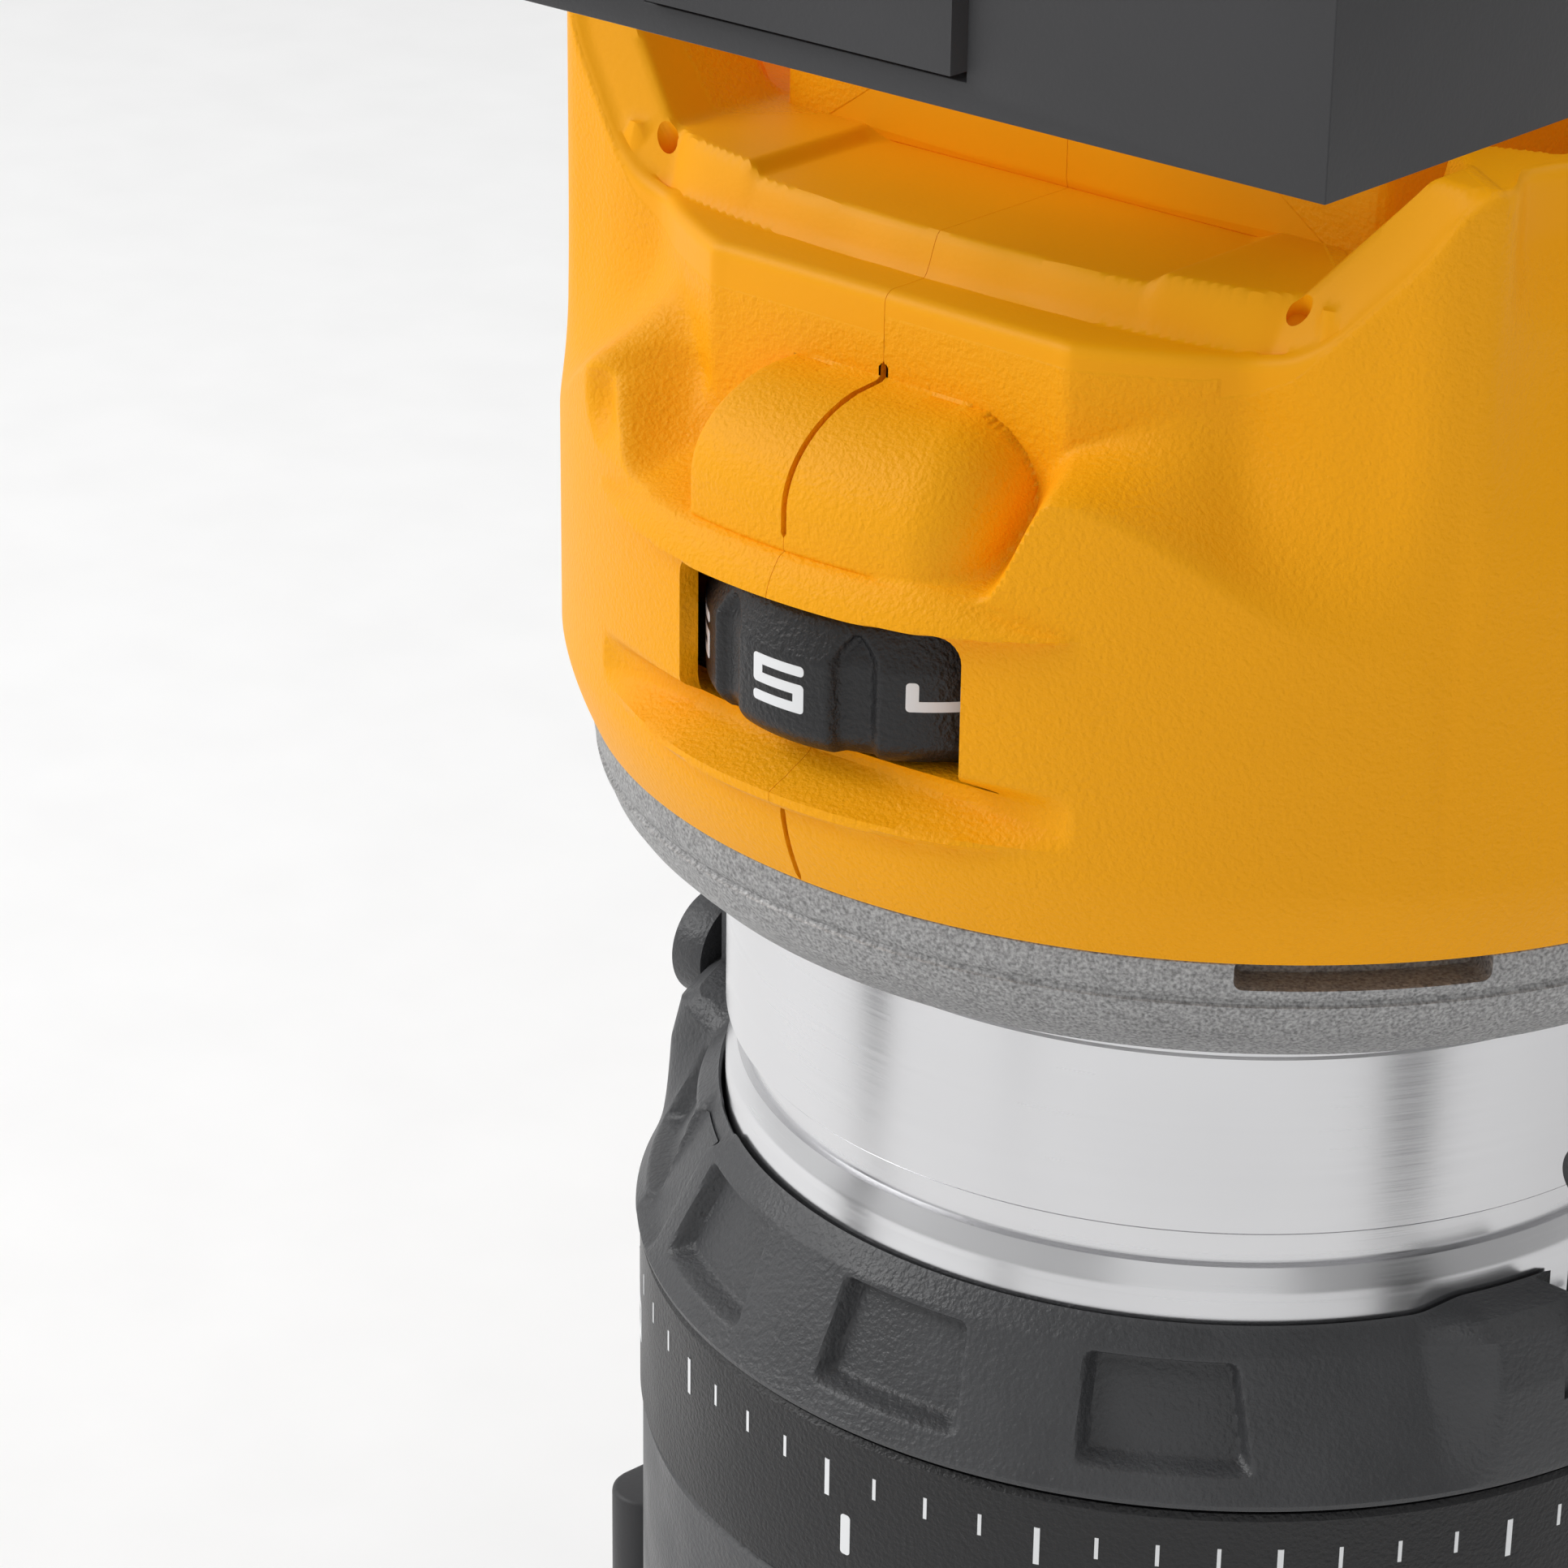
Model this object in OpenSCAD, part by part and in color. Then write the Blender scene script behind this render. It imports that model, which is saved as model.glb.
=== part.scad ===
// Cordless trim router: motor pack in a clamped fixed base, with a battery on top.
// Origin: spindle axis at the underside of the sub-base. +Z is up, the front (speed dial) is -Y.

/* [Motor pack] */
// Height of the head housing's lower edge above the work
head_z = 118; // [112:1:124]
// Radius of the round part of the head housing
head_r = 45.8; // [45:0.1:47]
// Radius of the turned motor tube
tube_r = 34.5; // [34:0.1:35]
// Height of the tube's lower end above the work
tube_z = 29; // [28:0.5:32]
// Wall of the housing mouldings
wall = 2.6; // [2:0.1:3]

/* [Base] */
// Radius of the sub-base
sub_base_r = 52; // [50:1:56]
// Thickness of the sub-base
sub_base_t = 5; // [4:0.5:6]
// Radius of the bit opening
bit_hole_r = 15; // [14:0.5:16]
// Height of the top of the threaded neck
neck_z = 66.5; // [64:0.5:67]
// Outer radius of the neck's thread
neck_r = 37; // [36.8:0.1:37]
// Pitch of the depth thread
thread_pitch = 3.2; // [3:0.1:4]

/* [Depth ring] */
// Height of the depth ring's inner top edge
ring_z = 87.6; // [85:0.1:88]
// Outer radius of the depth ring
ring_r = 40.9; // [40:0.1:42]

/* [Speed dial] */
// Radius of the dial
dial_r = 13.6; // [13.2:0.1:13.6]
// Distance of the dial's axis in front of the spindle
dial_y = 32.85; // [32.6:0.05:32.85]

/* [Collet] */
// Radius of the cutter shank that the collet holds (1/4 inch shank)
shank_r = 3.175; // [3:0.025:4]

/* [Battery] */
// Width of the battery pack
pack_w = 75; // [72:1:78]
// Height of the battery pack
pack_h = 44; // [42:1:48]
// Radius of one cell
cell_r = 9.1; // [9:0.05:9.2]

/* [Hidden] */
$fn = 96;
slack = 0.05;
gap = 0.4;
neck_bore = tube_r + slack;
base_wall_r = 41;
base_wall_z = 36;
flange_top = 11;
groove_lo = head_z - 26.8;
groove_hi = head_z - 24.1;
plate_z = head_z - 8.4;
dial_lo = head_z + 10;
dial_hi = head_z + 20;
deck_z = head_z + 41;
rail_z = deck_z + 13;
pack_z = deck_z + 11;
pack_top = pack_z + pack_h;
pack_front = -45;
pack_back = 62;
cell_pitch = 18.7;
cell_z = pack_top - 13.5;
skirt_z = 45.5;
pin_z = 58;
scale_lo = 63;
scale_hi = head_z - 41.3;
pivot_z = 97;
pivot_x = 37.3;
tab_round_z = 94;
lobe_z = 88.4;
ear_z = 87.2;
clamp_y = 47;
clamp_z = 24;
lever_x = -18;
lock_z = tube_z + 2.6;
screw_pcd = 84;
lens_x = 20;
housing_bosses = [[-14, head_z + 3.8], [-12, head_z + 31.2], [33, head_z + 4.6], [30, head_z + 34]];

// A ring or disc from z0 to z1.
module ring(r1, r0, z0, z1) {
    difference() {
        translate([0, 0, z0]) cylinder(r = r1, h = z1 - z0);
        translate([0, 0, z0 - 1]) cylinder(r = r0, h = z1 - z0 + 2);
    }
}

// A wedge-shaped piece of a ring, centred on angle mid (0 is the front, positive towards +X).
module ring_arc(r1, r0, z0, z1, mid, width) {
    translate([0, 0, z0]) rotate([0, 0, mid - 90 - width / 2]) rotate_extrude(angle = width)
        translate([r0, 0]) square([r1 - r0, z1 - z0]);
}

// Children copied around Z at n equal steps from the start angle.
module around(n, start = 0) {
    for (k = [0 : n - 1]) rotate([0, 0, start + k * 360 / n]) children();
}

// Children mirrored to both sides of the X = 0 plane.
module both_sides() {
    children();
    mirror([1, 0, 0]) children();
}

// A cylinder along X from x0 to x1.
module rod_x(r, x0, x1, y, z) {
    translate([x0, y, z]) rotate([0, 90, 0]) cylinder(r = r, h = x1 - x0);
}

// A cylinder along Y from y0 to y1.
module rod_y(r, y0, y1, x, z) {
    translate([x, y0, z]) rotate([-90, 0, 0]) cylinder(r = r, h = y1 - y0);
}

// A box from its two corners.
module box(lo, hi) {
    translate(lo) cube(hi - lo);
}

// A coil spring drawn as its wire rings along Z, joined by a thin core wire.
module spring_z(r, wire, z0, z1, turns) {
    for (k = [0 : turns - 1]) translate([0, 0, z0 + wire + k * (z1 - z0 - 2 * wire) / (turns - 1)])
        rotate_extrude($fn = 24) translate([r, 0]) circle(r = wire, $fn = 13);
    translate([r, 0, z0 + wire]) cylinder(r = wire * 0.8, h = z1 - z0 - 2 * wire, $fn = 13);
}

// ---------------------------------------------------------------- base

module sub_base() color("#2b2b2d") difference() {
    intersection() {
        cylinder(r = sub_base_r, h = sub_base_t);
        translate([-60, -60, -1]) cube([120, 104, 10]);
    }
    translate([0, 0, -1]) cylinder(r = bit_hole_r, h = 10);
    translate([0, 0, sub_base_t - 2]) cylinder(r = bit_hole_r + 2.5, h = 4);
    around(4, 45) translate([screw_pcd / 2, 0, -1]) cylinder(r = 2.3, h = 10);
    around(4, 45) translate([screw_pcd / 2, 0, -1]) cylinder(r = 4.4, h = 3.6);
    both_sides() translate([45.5, 0, -1]) cylinder(r = 2.25, h = 10);
}

module sub_base_screws() color("#c8c8cc") around(4, 45) translate([screw_pcd / 2, 0, 0]) {
    difference() {
        translate([0, 0, 0.6]) cylinder(r = 4.2, h = 2);
        translate([-0.6, -3, 0]) cube([1.2, 6, 1.4]);
    }
    translate([0, 0, 2.6]) cylinder(r = 1.95, h = 7);
}

// Thread crests of the neck, as rings one pitch apart.
module neck_thread() {
    for (z = [base_wall_z + 3 : thread_pitch : neck_z - 3]) ring(neck_r + 1, neck_r - 0.9, z, z + 1.6);
}

module base_casting() color("#8f9295") difference() {
    union() {
        translate([0, 0, sub_base_t]) cylinder(r = 50, h = flange_top - sub_base_t);
        translate([0, 0, flange_top - 1]) cylinder(r = base_wall_r, h = base_wall_z - flange_top + 1);
        cylinder(r = neck_r, h = neck_z);
        box([-13, 30, 14], [13, 53, 34]);
    }
    translate([0, 0, -1]) cylinder(r = neck_bore, h = 100);
    translate([0, 0, -1]) cylinder(r = 60, h = sub_base_t + 1);
    box([-1.5, 30, 13], [1.5, 60, 100]);
    box([-60, 44, -1], [60, 60, 12]);
    neck_thread();
    ring_arc(50, 30, flange_top + 1, base_wall_z - 3, 0, 78);
    ring_arc(50, 30, flange_top + 1, base_wall_z - 3, 92, 50);
    ring_arc(50, 30, flange_top + 1, base_wall_z - 3, -92, 50);
    rod_x(3, -20, 20, clamp_y, clamp_z);
    around(4, 45) translate([screw_pcd / 2, 0, 0]) cylinder(r = 2, h = 9.8);
    both_sides() translate([45.5, 0, 0]) cylinder(r = 2.25, h = 20);
    both_sides() rod_x(1.6, 30, 40, 0, pin_z);
}

module guide_pins() color("#c8c8cc") both_sides() rod_x(1.6, 33.4, 36.4, 0, pin_z);

module clamp_bolt() color("#c8c8cc") difference() {
    union() {
        rod_x(2.9, -16, 21, clamp_y, clamp_z);
        translate([lever_x, clamp_y, clamp_z - 2.6]) cylinder(r = 4.6, h = 5.2);
    }
    translate([lever_x, clamp_y, 0]) cylinder(r = 2, h = 60);
}

module clamp_nut() color("#c8c8cc") difference() {
    union() {
        translate([15, clamp_y, clamp_z]) rotate([0, 90, 0]) cylinder(r = 5.6, h = 4.4, $fn = 6);
        rod_x(6, 13, 15, clamp_y, clamp_z);
    }
    rod_x(2.95, 0, 30, clamp_y, clamp_z);
}

module lever_pin() color("#c8c8cc") translate([lever_x, clamp_y, 16]) cylinder(r = 2, h = 16);

// One straight piece of the lever's arm between two points in plan.
module lever_bar(a, b, r, z0, z1) {
    hull() for (p = [a, b]) translate([p[0], p[1], z0]) cylinder(r = r, h = z1 - z0, $fn = 32);
}

module clamp_lever() color("#26262a") difference() {
    union() {
        translate([lever_x, clamp_y, clamp_z - 7]) cylinder(r = 4.7, h = 14);
        lever_bar([lever_x, clamp_y], [-40, 36], 3.4, clamp_z - 7, clamp_z + 7);
        lever_bar([-40, 36], [-52, 12], 3.2, clamp_z - 7, clamp_z + 7);
        lever_bar([-52, 12], [-53.5, -2], 3, clamp_z - 7, clamp_z + 7);
    }
    translate([lever_x, clamp_y, 0]) cylinder(r = 2 + slack, h = 60);
    translate([lever_x, clamp_y, clamp_z - 3.1]) cylinder(r = 12, h = 6.2);
}

// ---------------------------------------------------------------- motor pack

module motor_tube() color("#d4d6da") difference() {
    translate([0, 0, tube_z]) cylinder(r = tube_r, h = head_z - tube_z);
    difference() {
        translate([0, 0, tube_z + 5]) cylinder(r = tube_r - 3, h = 100);
        ring(19, 16, 0, tube_z + 14);
    }
    cylinder(r = 10, h = 60);
    translate([0, 0, tube_z + 5]) cylinder(r = 16, h = 100);
    ring(tube_r + 5, tube_r - 1.2, groove_lo, groove_hi);
    both_sides() box([tube_r - 1.5, -2.1, tube_z - 1], [tube_r + 2, 2.1, 84]);
    // Spindle lock: pocket for the button and channel for its pin.
    box([-5.3, -tube_r - 2, tube_z + 0.6], [5.3, -28, tube_z + 4.6]);
    rod_y(1.8, -30, -8, 0, lock_z);
    both_sides() translate([lens_x, 0, 0]) cylinder(r = 3, h = 50);
}

// A ball bearing as one closed ring with a shallow groove on each face.
module bearing(r1, r0, z0, z1) {
    difference() {
        ring(r1, r0, z0, z1);
        ring(r1 - 2, r0 + 2, z0 - 1, z0 + 0.5);
        ring(r1 - 2, r0 + 2, z1 - 0.5, z1 + 1);
    }
}

module lower_bearing() color("#b8bac0") bearing(16, 7.5, tube_z + 5.1, tube_z + 14);

module stator_core() color("#6d6f75") {
    ring(tube_r - 3, 26, 48, 82);
    around(6) difference() {
        box([16.3, -4, 48], [26.4, 4, 82]);
        translate([0, 0, 40]) cylinder(r = 16.3, h = 50);
    }
}

module stator_coils() color("#b4683a") around(6) difference() {
    box([18, -6.5, 46.5], [25, 6.5, 83.5]);
    box([10, -4.2, 47.8], [40, 4.2, 82.2]);
}

module bearing_bridge() color("#a5a8ac") difference() {
    union() {
        ring(tube_r - 3, tube_r - 5.5, 97, 107);
        translate([0, 0, 99]) cylinder(r = 13.5, h = 8);
        around(4) box([12, -3, 99], [tube_r - 4, 3, 104]);
    }
    translate([0, 0, 90]) cylinder(r = 11, h = 15.5);
    translate([0, 0, 90]) cylinder(r = 7, h = 30);
}

module upper_bearing() color("#b8bac0") bearing(11, 4, 98.4, 105.4);

module sensor_board() color("#2f6b45") difference() {
    ring(26, 8, 109, 110.6);
    around(2, 45) translate([20, 0, 100]) cylinder(r = 1.6, h = 20);
}

module led_lenses() color("#eef3f5") both_sides() translate([lens_x, 0, tube_z - 0.6]) {
    cylinder(r = 2.9, h = 6.4);
    translate([0, 0, -0.1]) sphere(r = 2.2);
}

module front_plate() color("#8d8f92") difference() {
    rotate_extrude() polygon([
        [tube_r + slack, plate_z], [39.7, plate_z], [41.2, plate_z + 1.5], [43, plate_z + 3.4],
        [43.9, plate_z + 6.4], [43.9, head_z], [tube_r + slack, head_z]
    ]);
    around(4, 45) translate([38.5, 0, plate_z - 1]) cylinder(r = 1.6, h = 20);
    for (mid = [48, -132]) ring_arc(46, 41.5, head_z - 2, head_z + 1, mid, 21);
}

module plate_screws() color("#55575c") around(4, 45) translate([38.5, 0, plate_z + 1]) {
    cylinder(r = 1.55, h = 12);
}

// Full outer form of the head, before it is split into two shells.
module head_outer() {
    translate([0, 0, head_z]) rotate_extrude() polygon([
        [0, 0], [43.8, 0], [44.8, 1.5], [45.5, 3.2], [head_r, 6.5], [head_r, 28], [45, 30.5], [40, 33], [0, 33]
    ]);
    translate([0, 0, head_z + 31]) cylinder(r = 37.2, h = 10);
    box([-35, -24, head_z + 30], [35, 34, deck_z + 5]);
    for (a = [-53, 53, -127, 127]) rotate([0, 0, a]) translate([0, -39, head_z + 24]) {
        cylinder(r = 6.8, h = 25.5);
    }
    // Boss across the seam over the dial window.
    ring_arc(45.9, 36, head_z + 23.4, head_z + 31.5, 3, 30);
    // Visor over the dial window, and the ridge under it.
    ring_arc(47.3, 44, head_z + 19.9, head_z + 22.6, -1, 46);
    ring_arc(46.8, 44, head_z + 5.8, head_z + 7.2, 0, 44);
    // Foot with the battery rails.
    box([-24, -20, deck_z], [24, 44, rail_z + 1]);
    box([-29, -20, rail_z], [29, 44, rail_z + 4]);
    // Stop block of the foot.
    box([-24, 34, deck_z - 10], [24, 44, rail_z + 1]);
}

// Hollow inside of the head, with every opening through its wall.
module head_inner() {
    translate([0, 0, head_z - 1]) cylinder(r = head_r - wall, h = 30.5);
    box([-31, -28, head_z + 29], [31, 33, deck_z - 3]);
    box([-17, -14, deck_z - 4], [17, 30, rail_z + 10]);
    // Front notch in the rails, where the battery's contacts slide out.
    box([-12.6, -24, rail_z + 0.2], [12.6, -13, rail_z + 10]);
    // Dial window.
    ring_arc(50, 40, head_z + 9.6, head_z + 19.6, 1.8, 28.2);
    // Thinner wall round the window, for the dial.
    ring_arc(44.4, 40, head_z + 7, head_z + 22, 1.8, 40);
    // Switch opening in the rear wall.
    box([-9.5, 30, head_z + 8], [9.5, 60, head_z + 30]);
    // Air outlets beside the rear pillars.
    for (mid = [118, 124, 130, 230, 236, 242]) ring_arc(50, 40, head_z + 8, head_z + 20, mid, 2.6);
}

module head_shell() {
    difference() {
        head_outer();
        difference() {
            head_inner();
            for (p = housing_bosses) rod_x(3.6, -50, 50, p[0], p[1]);
            around(4, 45) translate([38.5, 0, head_z - 1]) cylinder(r = 5, h = 6.5);
        }
        for (p = housing_bosses) {
            rod_x(1.6, -30, 14, p[0], p[1]);
            rod_x(2.7, -60, -20, p[0], p[1]);
        }
        around(4, 45) translate([38.5, 0, head_z - 1]) cylinder(r = 1.6, h = 8);
    }
}

module housing_left() color("#f5a81c") difference() {
    head_shell();
    box([-0.05, -80, 0], [80, 80, 300]);
}

module housing_right() color("#f5a81c") difference() {
    head_shell();
    box([-80, -80, 0], [0.05, 80, 300]);
}

module housing_screws() color("#3a3a3e") for (p = housing_bosses) {
    rod_x(1.55, -22, 13, p[0], p[1]);
    rod_x(2.6, -23.5, -21.5, p[0], p[1]);
}

module dial_potentiometer() color("#3a5a78") translate([0, -dial_y, 0]) {
    translate([0, 0, dial_hi + 0.5]) cylinder(r = 7.5, h = 5);
    translate([0, 0, dial_lo + 1]) cylinder(r = 3, h = dial_hi - dial_lo + 1);
    box([-9, -4.5, dial_hi + 5.5], [9, dial_y - 10, dial_hi + 7]);
}

module control_module() color("#26332b") {
    box([-28, 0, head_z + 14], [28, 26, head_z + 16]);
    for (x = [-20, -7, 7, 20]) box([x - 4, 4, head_z + 16], [x + 4, 10, head_z + 20]);
    for (x = [-18, 18]) translate([x, 19, head_z + 16]) cylinder(r = 5, h = 9);
}

module heat_sink() color("#b9bbbf") {
    box([-26, 1, head_z + 12], [26, 25, head_z + 13.9]);
    for (x = [-24 : 6 : 24]) box([x - 0.8, 2, head_z + 6], [x + 0.8, 24, head_z + 12]);
}

// Three phase leads between the sensor board and the controller's heat sink plate.
module motor_leads() color("#8a2f2a") for (x = [-5, 0, 5]) {
    translate([x, 24.9, 110.6]) cylinder(r = 0.8, h = head_z + 12 - 110.6);
}

module switch_body() color("#2b2b2d") difference() {
    box([-9, 30, head_z + 8.5], [9, 43.6, head_z + 29.5]);
    box([-7.4, 36, head_z + 10], [7.4, 60, head_z + 28]);
    rod_x(1.25, -8.4, 8.4, 41, head_z + 19);
}

module power_switch() color("#19191b") {
    rod_x(1.2, -8.2, 8.2, 41, head_z + 19);
    difference() {
        box([-7, 38.2, head_z + 11.4], [7, 46.2, head_z + 26.6]);
        rod_x(22, -20, 20, 66.4, head_z + 19);
    }
}

module battery_terminals() color("#26262a") {
    box([-14, 4, deck_z - 2], [14, 26, rail_z + 5.5]);
    for (x = [-10, -3.4, 3.4, 10]) box([x - 0.4, -11, rail_z + 0.5], [x + 0.4, 4, rail_z + 5]);
}

// ---------------------------------------------------------------- spindle

module spindle_shaft() color("#c2c4c9") difference() {
    union() {
        translate([0, 0, 19.2]) cylinder(r = 8, h = 14.6);
        translate([0, 0, 33.8]) cylinder(r = 7.5 - slack, h = 9.4);
        translate([0, 0, 43.2]) cylinder(r = 6, h = 53.8);
        translate([0, 0, 97]) cylinder(r = 4 - slack, h = 9);
    }
    translate([0, 0, 19]) cylinder(r = 5.2, h = 21.5);
    around(4) rod_y(2.1, -12, -6, 0, lock_z);
}

module rotor_core() color("#75777c") ring(13.5, 6, 50, 80);

module rotor_magnets() color("#4a4b50") for (mid = [0, 90, 180, 270]) ring_arc(15.4, 13.5, 50.5, 79.5, mid, 84);

module cooling_fan() color("#2f3033") {
    ring(9, 6, 84.5, 95);
    ring(28, 9, 84.5, 86);
    around(11) box([8, -0.8, 85.5], [27.5, 0.8, 93]);
}

module collet() color("#b0b2b8") difference() {
    union() {
        translate([0, 0, 17.4]) cylinder(r = 6.2, h = 1.8);
        translate([0, 0, 19]) cylinder(r = 5.15, h = 21);
    }
    translate([0, 0, 10]) cylinder(r = shank_r, h = 40);
    around(4, 45) box([2, -0.35, 10], [8, 0.35, 36]);
}

module collet_nut() color("#a4a6ac") difference() {
    union() {
        translate([0, 0, 17]) cylinder(r = 11, h = 10.6, $fn = 6);
        translate([0, 0, 15]) cylinder(r1 = 7.6, r2 = 9.4, h = 2);
    }
    translate([0, 0, 10]) cylinder(r = 4.6, h = 20);
    translate([0, 0, 17]) cylinder(r = 8 + slack, h = 20);
}

module spindle_lock() color("#d04a20") {
    box([-5, -tube_r + 0.3, tube_z + 0.9], [5, -31.6, tube_z + 4.3]);
    rod_y(1.6, -32, -9.6, 0, lock_z);
}

module lock_spring() color("#c8c8cc") for (y = [-29.1, -28.7, -28.3]) {
    translate([0, y, lock_z]) rotate([90, 0, 0]) rotate_extrude($fn = 24) translate([1.8, 0]) {
        circle(r = 0.12, $fn = 13);
    }
}

// ---------------------------------------------------------------- depth ring

module depth_ring() color("#3c3d40") difference() {
    union() {
        rotate_extrude() polygon([
            [neck_r + 0.3, skirt_z], [40.4, skirt_z], [40.4, scale_lo - 0.3], [39, scale_lo - 0.3],
            [39, scale_hi + 0.3], [ring_r, scale_hi + 0.3], [ring_r, scale_hi + 4], [36.4, ring_z - 0.6],
            [35.4, ring_z], [34.8, ring_z - 0.4], [34.8, 78], [neck_r + 0.3, 76]
        ]);
        // Lobes beside the release tabs, and the cheeks that hold their pins.
        for (mid = [-90, 90]) {
            ring_arc(40.6, 35.1, scale_hi + 4, lobe_z, mid, 56);
            ring_arc(38.4, 35.1, scale_hi + 4, pivot_z + 2.4, mid, 36);
        }
    }
    // Slots that the release tabs sit in.
    both_sides() box([34, -9.4, scale_hi + 6], [50, 9.4, 120]);
    both_sides() box([38.4, -12.3, scale_hi + 5.7], [50, 12.3, 120]);
    both_sides() translate([pivot_x, -30, pivot_z]) rotate([-90, 0, 0]) cylinder(r = 1, h = 60);
    // Shallow grip pockets around the cone.
    for (mid = [-60, -30, 0, 30, 60, 120, 150, 180, 210, 240]) {
        ring_arc(45, 38.6, scale_hi + 2, scale_hi + 6.5, mid + 6, 17);
    }
}

module tab_pins() color("#c8c8cc") both_sides() rod_y(1, -11, 11, pivot_x, pivot_z);

module tab_springs() color("#c8c8cc") both_sides() for (y = [-5, 5]) {
    translate([36.6, y, scale_hi + 6]) spring_z(0.7, 0.15, 0, 3.2, 4);
}

module scale_ring() color("#303134") ring(40.6, 39 + slack, scale_lo, scale_hi);

// Release tab: a thumb plate outside the tube, a pivot eye and a hook into the tube's groove.
module release_tab() {
    difference() {
        union() {
            box([36.2, -9, scale_hi + 9.6], [38.8, 9, tab_round_z]);
            translate([36.2, 0, tab_round_z]) rotate([0, 90, 0]) intersection() {
                cylinder(r = 9, h = 2.6);
                translate([-20, -9, 0]) cube([20.1, 18, 3]);
            }
            box([tube_r - 0.5, -6, groove_lo + 0.4], [36.3, 6, groove_hi - 0.5]);
            rod_y(2.2, -9, 9, pivot_x, pivot_z);
            // Thumb pad.
            box([38.7, -7.6, ear_z - 4.2], [41.6, 7.6, ear_z + 4.2]);
            for (y = [-7.6, 7.6]) translate([38.7, y, ear_z]) rotate([0, 90, 0]) cylinder(r = 4.2, h = 2.9);
        }
        rod_y(1 + slack, -20, 20, pivot_x, pivot_z);
    }
}

module release_tab_right() color("#2b2b2d") release_tab();

module release_tab_left() color("#2b2b2d") mirror([1, 0, 0]) release_tab();

// ---------------------------------------------------------------- dial

module speed_dial() color("#1c1c1e") translate([0, -dial_y, 0]) difference() {
    translate([0, 0, dial_lo]) rotate_extrude() polygon([
        [0, 0], [dial_r - 1, 0], [dial_r, 1.4], [dial_r, 6.1], [dial_r - 1, 8.5], [dial_r - 2.4, 9.2],
        [dial_r - 3, 10], [0, 10]
    ]);
    translate([0, 0, dial_lo - 1]) cylinder(r = 3 + slack, h = 30);
    translate([0, 0, dial_lo - 1]) ring(dial_r - 3, 6, 0, 6);
    for (k = [0 : 7]) rotate([0, 0, 22.5 + 45 * k]) translate([0, -dial_r - 1, dial_lo - 1]) {
        cylinder(r = 2, h = 8.6);
    }
}

// ---------------------------------------------------------------- battery

module battery_case_lower() color("#1f2022") difference() {
    box([-pack_w / 2, pack_front, pack_z], [pack_w / 2, pack_back, pack_z + 18]);
    // Cavity above the rail channel for the cells and the board.
    box([-pack_w / 2 + 2.5, pack_front + 10.5, pack_z + 16], [pack_w / 2 - 2.5, pack_back - 2.5, pack_z + 20]);
    // Channel for the rails, open at the back.
    box([-24.5, -21, pack_z - 1], [24.5, pack_back + 5, pack_z + 3]);
    box([-29.5, -21, rail_z - gap], [29.5, pack_back + 5, rail_z + 4 + gap]);
    box([-15, -16, rail_z], [15, pack_back + 5, rail_z + 6.4]);
    // Front pocket for the latch, and the tunnel of its tongue.
    box([-12.5, pack_front - 1, pack_z + 1.8], [12.5, pack_front + 7, pack_z + 13]);
    box([-6.5, pack_front + 6, pack_z + 7.6], [6.5, -20, pack_z + 11]);
    for (x = [-33, 33]) for (y = [pack_front + 6, pack_back - 6]) {
        translate([x, y, pack_z - 1]) cylinder(r = 1.6, h = 30);
    }
}

module battery_case_upper() color("#f5a81c") {
    difference() {
        box([-pack_w / 2, pack_front, pack_z + 18], [pack_w / 2, pack_back, pack_top]);
        box([-pack_w / 2 + 2.5, pack_front + 2.5, pack_z + 17], [pack_w / 2 - 2.5, pack_back - 2.5, pack_top - 2.5]);
        box([-4, pack_front - 1, pack_top - 15], [4, pack_front + 5, pack_top - 9]);
    }
    // Posts that hold the gauge board behind the front wall.
    both_sides() box([18, pack_front + 2, pack_top - 17], [22, pack_front + 3.6, pack_top - 6]);
}

module battery_screws() color("#c8c8cc") for (x = [-33, 33]) for (y = [pack_front + 6, pack_back - 6]) {
    translate([x, y, pack_z + 2]) cylinder(r = 1.55, h = 15.8);
}

module battery_cells() color("#3b6ea5") for (k = [-2 : 2]) {
    rod_x(cell_r, -32.5, 32.5, 10 + cell_pitch * k, cell_z);
}

module battery_contacts() color("#c9a24b") for (x = [-10, -3.4, 3.4, 10]) both_contact(x);

// The pair of spring leaves on each side of one blade.
module both_contact(x) {
    for (s = [-1.1, 1.1]) box([x + s - 0.3, -10, rail_z + 0.8], [x + s + 0.3, -1, rail_z + 6.4]);
}

module gauge_board() color("#2f6b45") box([-24, pack_front + 3.6, pack_top - 18], [24, pack_front + 5.2, pack_top - 5]);

module battery_latch() color("#2b2b2d") {
    box([-12, pack_front - 0.8, pack_z + 2.2], [12, pack_front + 3, pack_z + 12.6]);
    box([-6, pack_front + 3, pack_z + 8], [6, -25, pack_z + 10.6]);
}

module latch_spring() color("#c8c8cc") both_sides() {
    translate([9, pack_front + 3.2, pack_z + 5]) rotate([-90, 0, 0]) spring_z(1.6, 0.25, 0, 3.6, 4);
}

module gauge_button() color("#8c8e92") {
    box([-3.6, pack_front - 0.6, pack_top - 14.6], [3.6, pack_front + 1.8, pack_top - 9.4]);
}

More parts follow.
